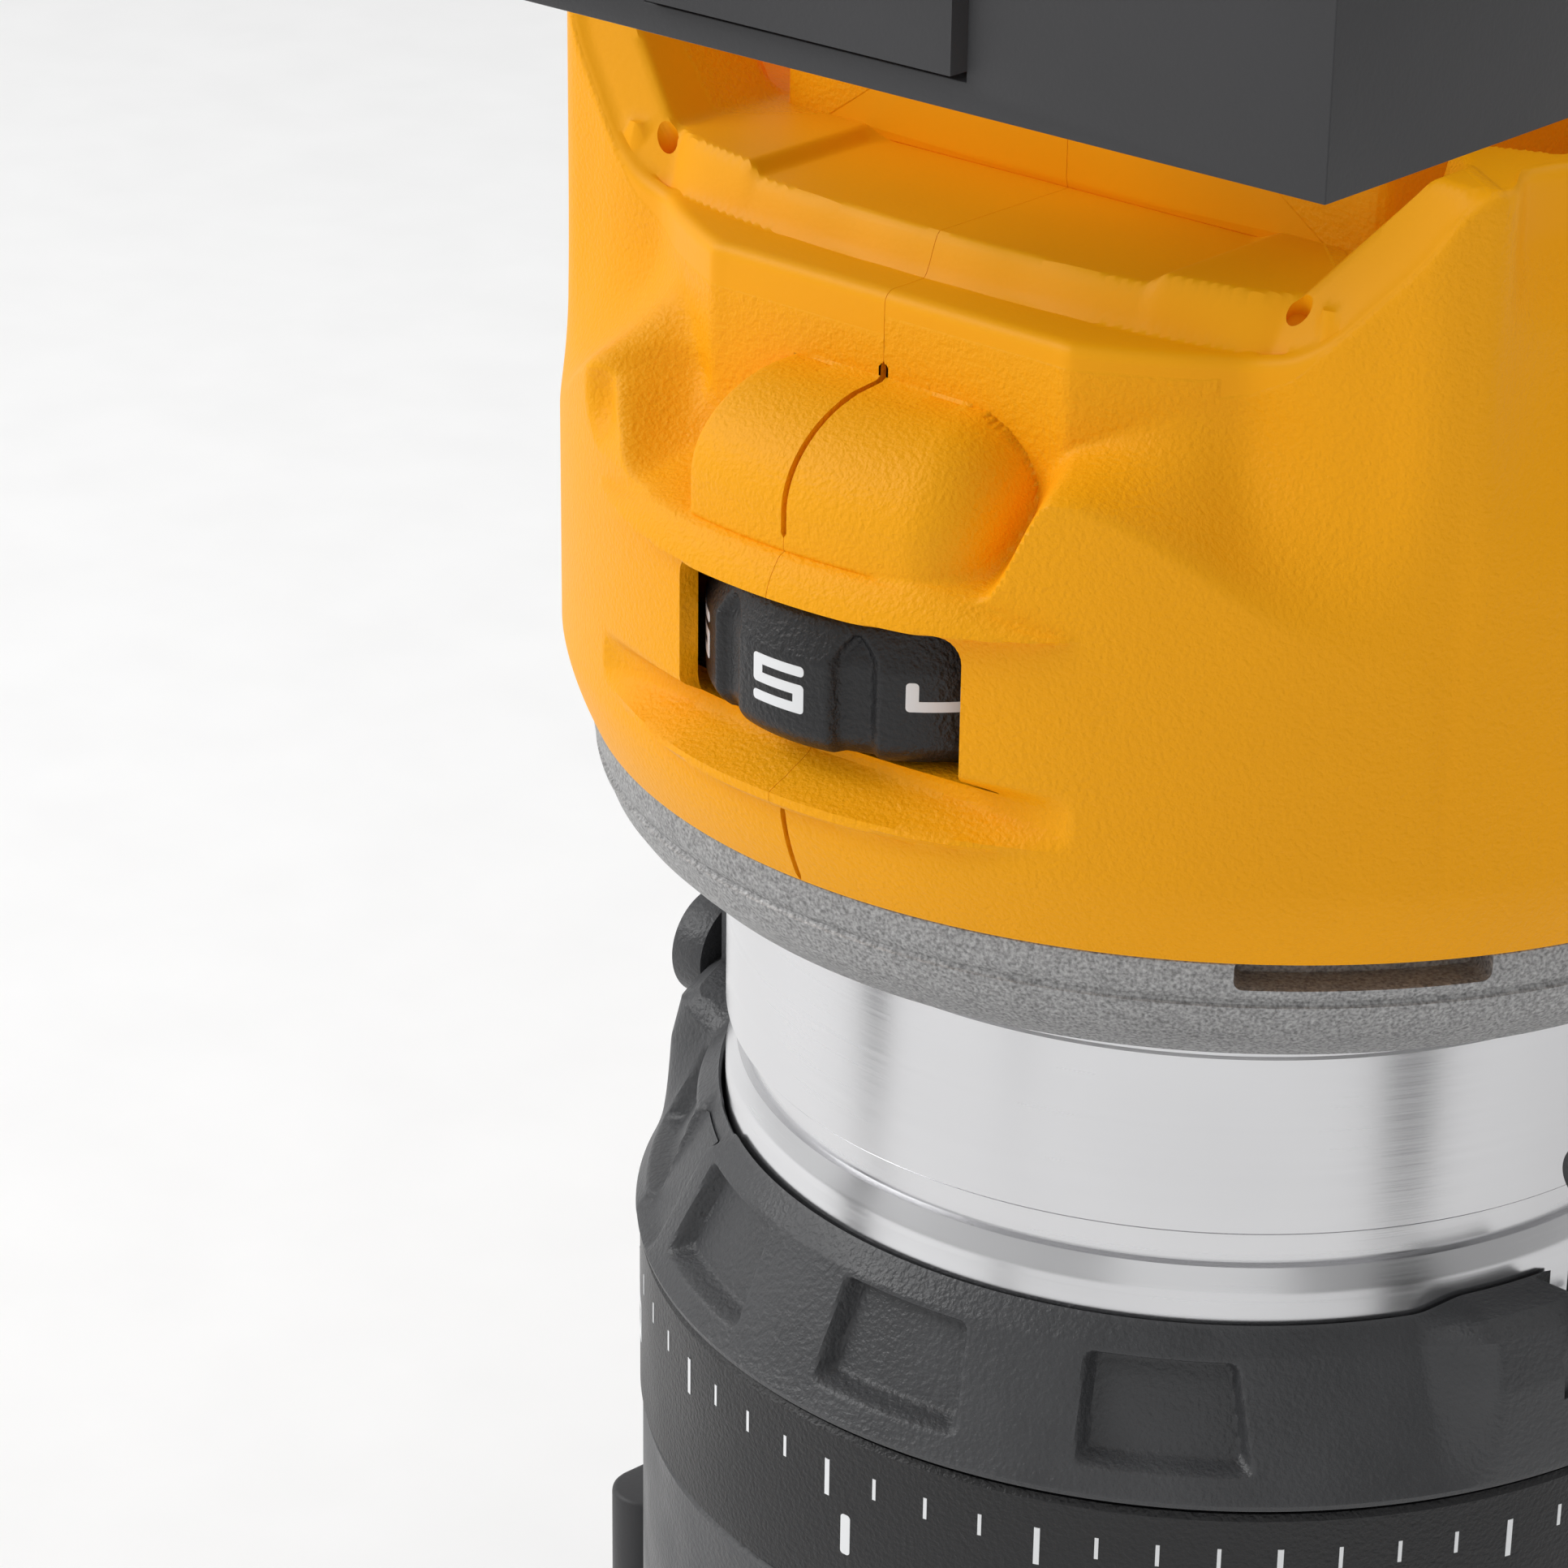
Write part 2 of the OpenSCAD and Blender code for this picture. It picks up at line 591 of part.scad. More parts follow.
sub_base();
sub_base_screws();
base_casting();
guide_pins();
clamp_bolt();
clamp_nut();
lever_pin();
clamp_lever();
motor_tube();
lower_bearing();
stator_core();
stator_coils();
bearing_bridge();
upper_bearing();
sensor_board();
led_lenses();
front_plate();
plate_screws();
housing_left();
housing_right();
housing_screws();
dial_potentiometer();
control_module();
heat_sink();
motor_leads();
switch_body();
battery_terminals();
spindle_shaft();
rotor_core();
rotor_magnets();
cooling_fan();
collet();
collet_nut();
spindle_lock();
lock_spring();
depth_ring();
tab_pins();
tab_springs();
scale_ring();
release_tab_left();
release_tab_right();
speed_dial();
power_switch();
battery_case_lower();
battery_case_upper();
battery_screws();
battery_cells();
battery_contacts();
gauge_board();
battery_latch();
latch_spring();
gauge_button();
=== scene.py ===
"""Looks for the trim router: builds the visible pieces around the packed frame."""

import math

import bmesh
import bpy
import numpy as np
from mathutils import Matrix, Vector


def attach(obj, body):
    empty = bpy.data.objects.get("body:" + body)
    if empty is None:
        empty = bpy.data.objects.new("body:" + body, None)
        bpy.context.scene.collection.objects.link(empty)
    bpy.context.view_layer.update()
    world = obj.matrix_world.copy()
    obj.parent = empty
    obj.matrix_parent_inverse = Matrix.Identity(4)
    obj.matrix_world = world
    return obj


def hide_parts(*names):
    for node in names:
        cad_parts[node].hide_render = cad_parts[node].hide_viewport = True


bl_info = {
    "name": "Trim router looks",
    "version": (1, 0, 0),
    "blender": (4, 5, 0),
    "location": "View3D > Sidebar > Router",
    "description": "Builds the visible pieces of the trim router around its CAD frame",
    "category": "Object",
}

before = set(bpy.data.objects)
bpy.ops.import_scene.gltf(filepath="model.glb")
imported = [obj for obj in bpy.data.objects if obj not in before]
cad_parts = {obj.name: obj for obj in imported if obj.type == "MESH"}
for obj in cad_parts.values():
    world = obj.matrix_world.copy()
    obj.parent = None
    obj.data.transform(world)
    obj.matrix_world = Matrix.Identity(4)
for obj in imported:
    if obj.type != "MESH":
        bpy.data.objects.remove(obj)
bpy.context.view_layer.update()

MM = 0.001
HEAD_Z = 118.0  # lower edge of the head housing above the work, in mm
BODY_R = 45.8  # radius of the head's round body
TUBE_R = 34.5
SEAM = 0.02  # half the gap where the two shells meet
HEAD_ANGLE = 38.0  # edges of the head sharper than this are kept crisp
DIAL_Y = -32.85
DIAL_R = 13.6
DIAL_LOW = HEAD_Z + 10.0


# ------------------------------------------------------------------ numbers


def smooth(t):
    """Smooth step from 0 to 1."""
    t = np.clip(t, 0.0, 1.0)
    return t * t * (3.0 - 2.0 * t)


def curve(x, points):
    """Straight-line interpolation through (x, y) pairs."""
    return np.interp(x, [p[0] for p in points], [p[1] for p in points])


def soft_min(a, b, k):
    """Lower of a and b, with the corner rounded over about k."""
    h = np.clip(0.5 + 0.5 * (b - a) / k, 0.0, 1.0)
    return b + (a - b) * h - k * h * (1.0 - h)


def soft_max(a, b, k):
    """Higher of a and b, with the corner rounded over about k."""
    return -soft_min(-a, -b, k)


def steps(lo, hi, size):
    """Even values from lo to hi, at most size apart."""
    return np.linspace(lo, hi, max(2, int(math.ceil(abs(hi - lo) / size)) + 1))


def joined(*parts):
    """Runs of values joined end to end, without the repeated ends."""
    out = list(parts[0])
    for p in parts[1:]:
        out += list(p[1:])
    return np.array(out)


# ------------------------------------------------------------------ meshes


def new_object(name, verts, faces, materials, angle=35.0):
    """A mesh object from points in mm, shaded smooth with sharp edges past the angle."""
    mesh = bpy.data.meshes.new(name)
    mesh.from_pydata((np.asarray(verts, float) * MM).tolist(), [], faces)
    mesh.update()
    for m in materials:
        mesh.materials.append(m)
    ob = bpy.data.objects.new(name, mesh)
    bpy.context.scene.collection.objects.link(ob)
    shade(ob, angle)
    return ob


def from_bmesh(name, bm, materials, angle=None):
    """A mesh object from finished bmesh data in metres, shaded where an angle is given."""
    mesh = bpy.data.meshes.new(name)
    bm.to_mesh(mesh)
    bm.free()
    for m in materials:
        mesh.materials.append(m)
    ob = bpy.data.objects.new(name, mesh)
    bpy.context.scene.collection.objects.link(ob)
    if angle is not None:
        shade(ob, angle)
    return ob


def face_outwards(ob, flat_sides=None):
    """Splits the flat faces with more sides than flat_sides, and turns every face outwards."""
    bm = bmesh.new()
    bm.from_mesh(ob.data)
    if flat_sides:
        bmesh.ops.triangulate(bm, faces=[f for f in bm.faces if len(f.verts) > flat_sides])
    bmesh.ops.recalc_face_normals(bm, faces=bm.faces[:])
    bm.to_mesh(ob.data)
    bm.free()
    return ob


def shade(ob, angle=35.0):
    """Smooth shading, with edges sharper than the angle kept crisp."""
    mesh = ob.data
    mesh.polygons.foreach_set("use_smooth", np.ones(len(mesh.polygons), bool))
    mesh.set_sharp_from_angle(angle=math.radians(angle))
    mesh.update()


def ring_points(az, radius, z):
    """Points at azimuth az in degrees (0 is the front, positive towards +X)."""
    a = np.radians(az)
    return np.stack([radius * np.sin(a), -radius * np.cos(a), z], -1)


def grid_faces(rows, cols, wrap):
    """Quads of a grid of points stored row by row, facing outwards when rows rise and columns turn to +X."""
    out = []
    for r in range(rows - 1):
        for c in range(cols if wrap else cols - 1):
            d = (c + 1) % cols
            a, b = r * cols + c, r * cols + d
            out.append((a, b, b + cols, a + cols))
    return out


def lathe(name, profile, n, materials, angle=35.0):
    """A closed ring turned about Z from a closed loop of (radius, z), anticlockwise with radius to the right."""
    az = np.arange(n) * 360.0 / n
    rows = [ring_points(az, np.full(n, p[0]), np.full(n, p[1])) for p in profile]
    verts, faces = closed_tube_from_rows(rows)
    return new_object(name, verts, faces, materials, angle)


def closed_tube_from_rows(rows_points, wrap_cols=True):
    """Verts and faces of a torus-like surface from a list of rows of points."""
    n = len(rows_points[0])
    verts = np.concatenate(rows_points)
    faces = grid_faces(len(rows_points), n, wrap_cols)
    last = (len(rows_points) - 1) * n
    for c in range(n if wrap_cols else n - 1):
        d = (c + 1) % n
        faces.append((last + c, last + d, d, c))
    return verts, faces


def box_mesh(name, lo, hi, materials, bevel=0.0, segments=3):
    """A box with rounded edges."""
    bm = bmesh.new()
    bmesh.ops.create_cube(bm, size=1.0)
    lo, hi = np.array(lo, float), np.array(hi, float)
    for v in bm.verts:
        v.co = Vector(((lo + hi) / 2 + (hi - lo) * np.array(v.co)) * MM)
    if bevel:
        edges, width = bm.edges[:], bevel * MM
        bmesh.ops.bevel(
            bm, geom=edges, offset=width, segments=segments, profile=0.5, affect="EDGES", clamp_overlap=True
        )
    return from_bmesh(name, bm, materials, 30.0)


def boolean(ob, others, operation):
    """Joins or cuts ob with the other closed meshes, then deletes them."""
    for other in others:
        mod = ob.modifiers.new("cut", "BOOLEAN")
        mod.operation = operation
        mod.solver = "MANIFOLD"
        mod.object = other
        apply_modifiers(ob)
        discard(other)
    return ob


def discard(ob):
    """Deletes an object and its mesh."""
    mesh = ob.data
    bpy.data.objects.remove(ob)
    bpy.data.meshes.remove(mesh)


def apply_modifiers(ob):
    """Turns what the modifiers make into the object's own mesh."""
    graph = bpy.context.evaluated_depsgraph_get()
    graph.update()
    mesh = bpy.data.meshes.new_from_object(ob.evaluated_get(graph))
    old = ob.data
    ob.modifiers.clear()
    ob.data = mesh
    mesh.name = ob.name
    bpy.data.meshes.remove(old)
    return ob


def join_into(target, others):
    """Adds the other objects' meshes to target as further closed bodies, keeping their materials."""
    bm = bmesh.new()
    bm.from_mesh(target.data)
    for other in others:
        remap = []
        for m in other.data.materials:
            names = [x.name for x in target.data.materials]
            if m.name not in names:
                target.data.materials.append(m)
                names.append(m.name)
            remap.append(names.index(m.name))
        part = other.data.copy()
        index = np.zeros(len(part.polygons), np.int32)
        part.polygons.foreach_get("material_index", index)
        index = np.array([remap[min(i, len(remap) - 1)] for i in index], np.int32)
        part.polygons.foreach_set("material_index", index)
        bm.from_mesh(part)
        bpy.data.meshes.remove(part)
        discard(other)
    bm.to_mesh(target.data)
    bm.free()
    target.data.update()
    return target


def bevelled_copy(node, name, materials, width, segments=2, limit=30.0):
    """A copy of a CAD node with merged points and rounded edges."""
    bm = bmesh.new()
    bm.from_mesh(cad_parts[node].data)
    bmesh.ops.remove_doubles(bm, verts=bm.verts[:], dist=2e-6)
    bmesh.ops.dissolve_limit(
        bm, angle_limit=math.radians(1.0), verts=bm.verts[:], edges=bm.edges[:], use_dissolve_boundaries=False
    )
    least = math.radians(limit)
    sharp = [e for e in bm.edges if len(e.link_faces) == 2 and e.calc_face_angle(0.0) > least]
    bmesh.ops.bevel(
        bm, geom=sharp, offset=width * MM, segments=segments, profile=0.5, affect="EDGES", clamp_overlap=True
    )
    ob = from_bmesh(name, bm, materials)
    ob.data.validate()
    shade(ob, 30.0)
    return ob


def place(ob, body, slot, *nodes):
    """The finished piece rides on its body, takes its slot and stands for its CAD nodes."""
    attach(ob, body)
    if nodes:
        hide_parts(*nodes)
    return ob


# ------------------------------------------------------------------ geometry nodes


def copies_tree(name, inputs, lay_out):
    """A tree that copies the object's own mesh on points; lay_out links the points and the turns."""
    if name in bpy.data.node_groups:
        return bpy.data.node_groups[name]
    t = bpy.data.node_groups.new(name, "GeometryNodeTree")
    t.interface.new_socket(name="Geometry", in_out="INPUT", socket_type="NodeSocketGeometry")
    for label, kind, value in inputs:
        t.interface.new_socket(name=label, in_out="INPUT", socket_type=kind).default_value = value
    t.interface.new_socket(name="Material", in_out="INPUT", socket_type="NodeSocketMaterial")
    t.interface.new_socket(name="Geometry", in_out="OUTPUT", socket_type="NodeSocketGeometry")
    n, link = t.nodes, t.links.new
    start, end = n.new("NodeGroupInput"), n.new("NodeGroupOutput")
    line = n.new("GeometryNodeMeshLine")
    copies = n.new("GeometryNodeInstanceOnPoints")
    real = n.new("GeometryNodeRealizeInstances")
    paint = n.new("GeometryNodeSetMaterial")
    link(start.outputs["Count"], line.inputs["Count"])
    link(line.outputs[0], copies.inputs["Points"])
    link(start.outputs["Geometry"], copies.inputs["Instance"])
    lay_out(n, link, start, line, copies)
    link(copies.outputs[0], real.inputs[0])
    link(real.outputs[0], paint.inputs["Geometry"])
    link(start.outputs["Material"], paint.inputs["Material"])
    link(paint.outputs[0], end.inputs[0])
    return t


def around_tree():
    """Copies around the Z axis in equal steps."""

    def lay_out(n, link, start, line, copies):
        line.inputs["Offset"].default_value = (0.0, 0.0, 0.0)
        index = n.new("GeometryNodeInputIndex")
        angle = n.new("ShaderNodeMath")
        angle.operation = "MULTIPLY_ADD"
        spin = n.new("ShaderNodeCombineXYZ")
        link(index.outputs[0], angle.inputs[0])
        link(start.outputs["Step Angle"], angle.inputs[1])
        link(start.outputs["First Angle"], angle.inputs[2])
        link(angle.outputs[0], spin.inputs["Z"])
        link(spin.outputs[0], copies.inputs["Rotation"])

    inputs = [
        ("Count", "NodeSocketInt", 4),
        ("First Angle", "NodeSocketFloat", 0.0),
        ("Step Angle", "NodeSocketFloat", math.radians(90.0)),
    ]
    return copies_tree("repeat_around_axis", inputs, lay_out)


def row_tree():
    """Copies along a straight row."""

    def lay_out(n, link, start, line, copies):
        link(start.outputs["Step"], line.inputs["Offset"])

    inputs = [("Count", "NodeSocketInt", 4), ("Step", "NodeSocketVector", (0.0, 0.0, 0.004))]
    return copies_tree("repeat_in_a_row", inputs, lay_out)


def repeat(ob, tree, **values):
    """Runs a repeating tree on ob and turns the result into its plain mesh."""
    mod = ob.modifiers.new("repeat", "NODES")
    mod.node_group = tree
    for item in tree.interface.items_tree:
        key = item.name.replace(" ", "_").lower()
        if item.in_out == "INPUT" and key in values:
            mod[item.identifier] = values[key]
    apply_modifiers(ob)
    return ob


# ------------------------------------------------------------------ materials


def group_base(name, inputs, outputs):
    """A new shader node group with named inputs and outputs."""
    g = bpy.data.node_groups.new(name, "ShaderNodeTree")
    for n, kind, value in inputs:
        s = g.interface.new_socket(name=n, in_out="INPUT", socket_type=kind)
        s.default_value = value
    for n, kind in outputs:
        g.interface.new_socket(name=n, in_out="OUTPUT", socket_type=kind)
    return g, g.nodes.new("NodeGroupInput"), g.nodes.new("NodeGroupOutput")


def grain_group():
    """Fine moulded or blasted grain, with a broad mottle for colour and gloss."""
    name = "surface_grain"
    if name in bpy.data.node_groups:
        return bpy.data.node_groups[name]
    g, i, o = group_base(
        name,
        [
            ("Scale", "NodeSocketFloat", 3000.0),
            ("Mottle Scale", "NodeSocketFloat", 60.0),
            ("Detail", "NodeSocketFloat", 3.0),
        ],
        [("Height", "NodeSocketFloat"), ("Mottle", "NodeSocketFloat"), ("Specks", "NodeSocketFloat")],
    )
    n, link = g.nodes, g.links.new
    place_ = n.new("ShaderNodeTexCoord")
    fine = n.new("ShaderNodeTexNoise")
    broad = n.new("ShaderNodeTexNoise")
    cells = n.new("ShaderNodeTexVoronoi")
    for t in (fine, broad, cells):
        link(place_.outputs["Object"], t.inputs["Vector"])
    link(i.outputs["Scale"], fine.inputs["Scale"])
    link(i.outputs["Detail"], fine.inputs["Detail"])
    link(i.outputs["Mottle Scale"], broad.inputs["Scale"])
    link(i.outputs["Scale"], cells.inputs["Scale"])
    link(fine.outputs["Fac"], o.inputs["Height"])
    link(broad.outputs["Fac"], o.inputs["Mottle"])
    link(cells.outputs["Distance"], o.inputs["Specks"])
    return g


def turning_group():
    """Fine circular tool lines: noise that changes quickly along Z and hardly at all around."""
    name = "turning_lines"
    if name in bpy.data.node_groups:
        return bpy.data.node_groups[name]
    g, i, o = group_base(
        name,
        [("Lines", "NodeSocketFloat", 6000.0), ("Around", "NodeSocketFloat", 25.0)],
        [("Height", "NodeSocketFloat"), ("Streaks", "NodeSocketFloat")],
    )
    n, link = g.nodes, g.links.new
    at = n.new("ShaderNodeTexCoord")
    split = n.new("ShaderNodeSeparateXYZ")
    link(at.outputs["Object"], split.inputs[0])
    along, ax, ay = n.new("ShaderNodeMath"), n.new("ShaderNodeMath"), n.new("ShaderNodeMath")
    for m, axis, factor in ((along, "Z", "Lines"), (ax, "X", "Around"), (ay, "Y", "Around")):
        m.operation = "MULTIPLY"
        link(split.outputs[axis], m.inputs[0])
        link(i.outputs[factor], m.inputs[1])
    packed = n.new("ShaderNodeCombineXYZ")
    link(ax.outputs[0], packed.inputs["X"])
    link(ay.outputs[0], packed.inputs["Y"])
    link(along.outputs[0], packed.inputs["Z"])
    lines, streaks = n.new("ShaderNodeTexNoise"), n.new("ShaderNodeTexNoise")
    lines.inputs["Scale"].default_value = 1.0
    lines.inputs["Detail"].default_value = 4.0
    streaks.inputs["Scale"].default_value = 0.25
    streaks.inputs["Detail"].default_value = 2.0
    link(packed.outputs[0], lines.inputs["Vector"])
    link(packed.outputs[0], streaks.inputs["Vector"])
    link(lines.outputs["Fac"], o.inputs["Height"])
    link(streaks.outputs["Fac"], o.inputs["Streaks"])
    return g


def wear_group():
    """Light wear on the convex edges of a piece."""
    name = "edge_wear"
    if name in bpy.data.node_groups:
        return bpy.data.node_groups[name]
    g, i, o = group_base(
        name, [("Low", "NodeSocketFloat", 0.52), ("High", "NodeSocketFloat", 0.6)], [("Mask", "NodeSocketFloat")]
    )
    n, link = g.nodes, g.links.new
    geo = n.new("ShaderNodeNewGeometry")
    ramp = n.new("ShaderNodeMapRange")
    link(geo.outputs["Pointiness"], ramp.inputs["Value"])
    link(i.outputs["Low"], ramp.inputs["From Min"])
    link(i.outputs["High"], ramp.inputs["From Max"])
    link(ramp.outputs["Result"], o.inputs["Mask"])
    return g


def use_group(nodes, group, **values):
    """A node group placed in a material with its own values."""
    node = nodes.new("ShaderNodeGroup")
    node.node_tree = group
    for key, value in values.items():
        node.inputs[key.replace("_", " ").title()].default_value = value
    return node


MATERIALS = {}


def spread_values(n, link, value, from_low, from_high, to_low, to_high):
    """A Map Range node on a value; gives its result."""
    node = n.new("ShaderNodeMapRange")
    for label, number in (("From Min", from_low), ("From Max", from_high), ("To Min", to_low), ("To Max", to_high)):
        node.inputs[label].default_value = number
    link(value, node.inputs["Value"])
    return node.outputs["Result"]


def material(
    name,
    color,
    roughness=0.5,
    metallic=0.0,
    grain=3000.0,
    depth=0.02,
    mottle=0.06,
    mottle_scale=60.0,
    specks=0.0,
    wear=0.0,
    wear_color=(0.5, 0.5, 0.5),
    turning=0.0,
    specular=0.5,
    transmission=0.0,
    rough_spread=0.08,
    grain_attribute=None,
):
    """A procedural finish: grain or tool lines for bump, mottle for colour and gloss, wear on edges.

    depth is the height of the bump in mm."""
    m = bpy.data.materials.new(name)
    MATERIALS[name] = m
    m.use_nodes = True
    n, link = m.node_tree.nodes, m.node_tree.links.new
    bsdf = n["Principled BSDF"]
    bsdf.inputs["Metallic"].default_value = metallic
    bsdf.inputs["Specular IOR Level"].default_value = specular
    bsdf.inputs["IOR"].default_value = 1.45
    bsdf.inputs["Transmission Weight"].default_value = transmission
    g = use_group(n, grain_group(), scale=grain, mottle_scale=mottle_scale, detail=3.0)
    # Colour: the base tone, lighter and darker with the mottle and the specks.
    col = None
    for label, high, swing in (("Mottle", 0.7, mottle), ("Height", 0.75, specks)):
        if col is not None and not swing:
            continue
        tone = spread_values(n, link, g.outputs[label], 0.3, high, 1.0 - swing, 1.0 + swing)
        scaled = n.new("ShaderNodeVectorMath")
        scaled.operation = "SCALE"
        if col is None:
            scaled.inputs[0].default_value = color
        else:
            link(col, scaled.inputs[0])
        link(tone, scaled.inputs["Scale"])
        col = scaled.outputs[0]
    if wear:
        w = use_group(n, wear_group(), low=0.515, high=0.56)
        strength = n.new("ShaderNodeMath")
        strength.operation = "MULTIPLY"
        strength.inputs[1].default_value = wear
        link(w.outputs["Mask"], strength.inputs[0])
        mix = n.new("ShaderNodeMix")
        mix.data_type = "RGBA"
        link(strength.outputs[0], mix.inputs["Factor"])
        link(col, mix.inputs["A"])
        mix.inputs["B"].default_value = (*wear_color, 1.0)
        col = mix.outputs["Result"]
    link(col, bsdf.inputs["Base Color"])
    # Roughness varies a little with the mottle.
    low, high = max(0.02, roughness - rough_spread), min(1.0, roughness + rough_spread)
    rough_out = spread_values(n, link, g.outputs["Mottle"], 0.3, 0.7, low, high)
    height = g.outputs["Height"]
    if turning:
        t = use_group(n, turning_group(), lines=turning, around=25.0)
        height = t.outputs["Height"]
        extra = n.new("ShaderNodeMath")
        extra.operation = "MULTIPLY_ADD"
        extra.inputs[1].default_value = 0.14
        extra.inputs[2].default_value = -0.07
        link(t.outputs["Streaks"], extra.inputs[0])
        total = n.new("ShaderNodeMath")
        total.operation = "ADD"
        link(rough_out, total.inputs[0])
        link(extra.outputs[0], total.inputs[1])
        rough_out = total.outputs[0]
    link(rough_out, bsdf.inputs["Roughness"])
    bump = n.new("ShaderNodeBump")
    bump.inputs["Distance"].default_value = depth * MM
    bump.inputs["Strength"].default_value = 1.0
    if grain_attribute:
        where = n.new("ShaderNodeAttribute")
        where.attribute_name = grain_attribute
        flat = n.new("ShaderNodeMath")
        flat.operation = "MULTIPLY"
        link(height, flat.inputs[0])
        link(where.outputs["Fac"], flat.inputs[1])
        height = flat.outputs[0]
    link(height, bump.inputs["Height"])
    link(bump.outputs["Normal"], bsdf.inputs["Normal"])


def make_materials(look):
    """Every finish of the tool, by its slot name."""
    shell = tuple(look.shell_color)
    material(
        "yellow_shell", shell, 0.48, grain=2900, depth=0.13, mottle=0.02, specular=0.2, grain_attribute="grain",
        rough_spread=0.03,
    )
    material("yellow_plain", shell, 0.46, grain=3200, depth=0.06, mottle=0.02, specular=0.3)
    material(
        "black_plastic", (0.028, 0.028, 0.030), 0.5, grain=3000, depth=0.02, mottle=0.15, wear=0.12,
        wear_color=(0.12, 0.12, 0.125),
    )
    material(
        "ring_plastic", tuple(look.ring_color), 0.42, grain=2600, depth=0.11, mottle=0.12, mottle_scale=150,
        wear=0.1, wear_color=(0.16, 0.16, 0.165),
    )
    material("dial_plastic", (0.012, 0.012, 0.013), 0.4, grain=3000, depth=0.13, mottle=0.12)
    material("dial_print", (0.82, 0.83, 0.84), 0.55, grain=3000, depth=0.004, mottle=0.04)
    material(
        "turned_aluminium", (0.7, 0.7, 0.712), 0.24, 1.0, grain=1500, mottle=0.03, turning=9000.0, depth=0.0025,
        rough_spread=0.03,
    )
    material(
        "cast_alloy", (0.35, 0.347, 0.345), 0.5, 0.35, grain=4200, depth=0.07, mottle=0.06, specks=0.5,
    )
    material(
        "base_alloy", (0.46, 0.47, 0.48), 0.42, 0.85, grain=1800, depth=0.03, mottle=0.08, specks=0.1, wear=0.2,
        wear_color=(0.7, 0.7, 0.72),
    )
    material("bright_steel", (0.62, 0.62, 0.64), 0.24, 1.0, grain=1500, depth=0.004, mottle=0.06)
    material(
        "tool_steel", (0.5, 0.5, 0.52), 0.3, 1.0, grain=1500, depth=0.004, mottle=0.06, turning=4000.0
    )
    material("lamination", (0.26, 0.26, 0.28), 0.45, 0.9, depth=0.02, turning=9000.0)
    material("copper_wire", (0.58, 0.22, 0.09), 0.3, 0.9, depth=0.05, turning=5000.0)
    material("board_green", (0.02, 0.13, 0.07), 0.35, grain=1200, depth=0.01, mottle=0.2)
    material("contact_brass", (0.75, 0.55, 0.22), 0.28, 1.0, grain=1500, depth=0.004)
    material("cell_wrap", (0.05, 0.18, 0.4), 0.35, grain=800, depth=0.01, mottle=0.08)
    material(
        "clear_lens", (0.95, 0.97, 0.98), 0.06, grain=400, depth=0.002, mottle=0.01, transmission=1.0,
        rough_spread=0.01,
    )
    material("lock_button", (0.52, 0.05, 0.02), 0.38, grain=2500, depth=0.01, mottle=0.05)
    material("grey_button", (0.24, 0.25, 0.26), 0.6, grain=2500, depth=0.015, mottle=0.08)
    material("rubber_grip", (0.02, 0.02, 0.021), 0.72, grain=1800, depth=0.05, mottle=0.1)
    material("floor_board", tuple(look.floor_color), 0.85, grain=500, depth=0.02, mottle=0.01)


# ------------------------------------------------------------------ head shell


# (angle from the front or rear, mm): where the round body ends, the wall's radius, the lip's height,
# the step behind the lip, and the upper limit of the texture. Heights are above the head's lower edge.
EDGE_LINE = [
    (0, 31), (10, 31), (20, 29.8), (27, 28.8), (33, 26.5), (38, 23.8), (44.4, 22.4), (49.5, 23.4), (52.7, 25.4),
    (54.3, 28.5), (90, 28.5),
]
PLAN_LINE = [
    (21.2, 39.8), (27.3, 39.6), (31, 39.56), (36.6, 39.4), (40, 41.0), (43, 42.3), (46.6, 43.6), (50, 45.2),
    (52.5, 45.9), (54, 45.9), (55.5, 45.0), (57, 44.0), (60, 43.2), (75, 42.6), (90, 42.4),
]
LIP = 36.8
CAP = 48.5
DECK = 39.5
TOP_LINE = [
    (0, LIP), (36.6, LIP), (40, 37.4), (43, 39), (46.5, 42.2), (49, 44.6), (51, 47.3), (52.5, CAP), (90, CAP),
]
STEP_LINE = [(0, 33.5), (12, 34.0), (24.4, 36.0), (32, 37.6), (37, 38.9), (39.7, 39.4), (42, 39.4)]
GRAIN_LINE = [
    (0, 34), (32.5, 34.1), (36.6, 34.6), (40, 36), (43, 38.7), (46.5, 41.9), (49, 44.3), (51, 47), (54, 49),
    (56, 43.6), (90, 43.6),
]
SHELL_SCREWS = [(-14.0, 121.8), (-12.0, 149.2), (33.0, 122.6), (30.0, 152.0)]  # (y, z)
FOOT_FRONT, FOOT_BACK = -20.0, 44.0
POST_R = 43.6  # the screw posts start just inside the body
# Half width, bottom, top and edge rounding of the foot and of the rails on it.
FOOT_BLOCKS = ((24.0, HEAD_Z + 39.0, HEAD_Z + 55.2, 1.2), (29.0, HEAD_Z + 54.0, HEAD_Z + 58.0, 0.8))


def fold(az):
    """Angle from the front or from the rear, whichever is nearer."""
    a = np.abs(az)
    return np.minimum(a, 180.0 - a)


def eased(points, spread):
    """The curve through (angle, value) pairs with its corners eased over about spread degrees."""
    x = np.arange(-30.0, 120.25, 0.25)
    y = curve(fold(x), points)
    k = np.exp(-0.5 * (np.arange(-40, 41) * 0.25 / spread) ** 2)
    k /= k.sum()
    inside = (x >= -10.0) & (x <= 100.0)
    return x[inside], np.convolve(y, k, "same")[inside]


EDGE_CURVE = eased(EDGE_LINE, 2.2)
PLAN_CURVE = eased(PLAN_LINE, 1.2)
TOP_CURVE = eased(TOP_LINE, 0.8)
STEP_CURVE = eased(STEP_LINE, 2.0)


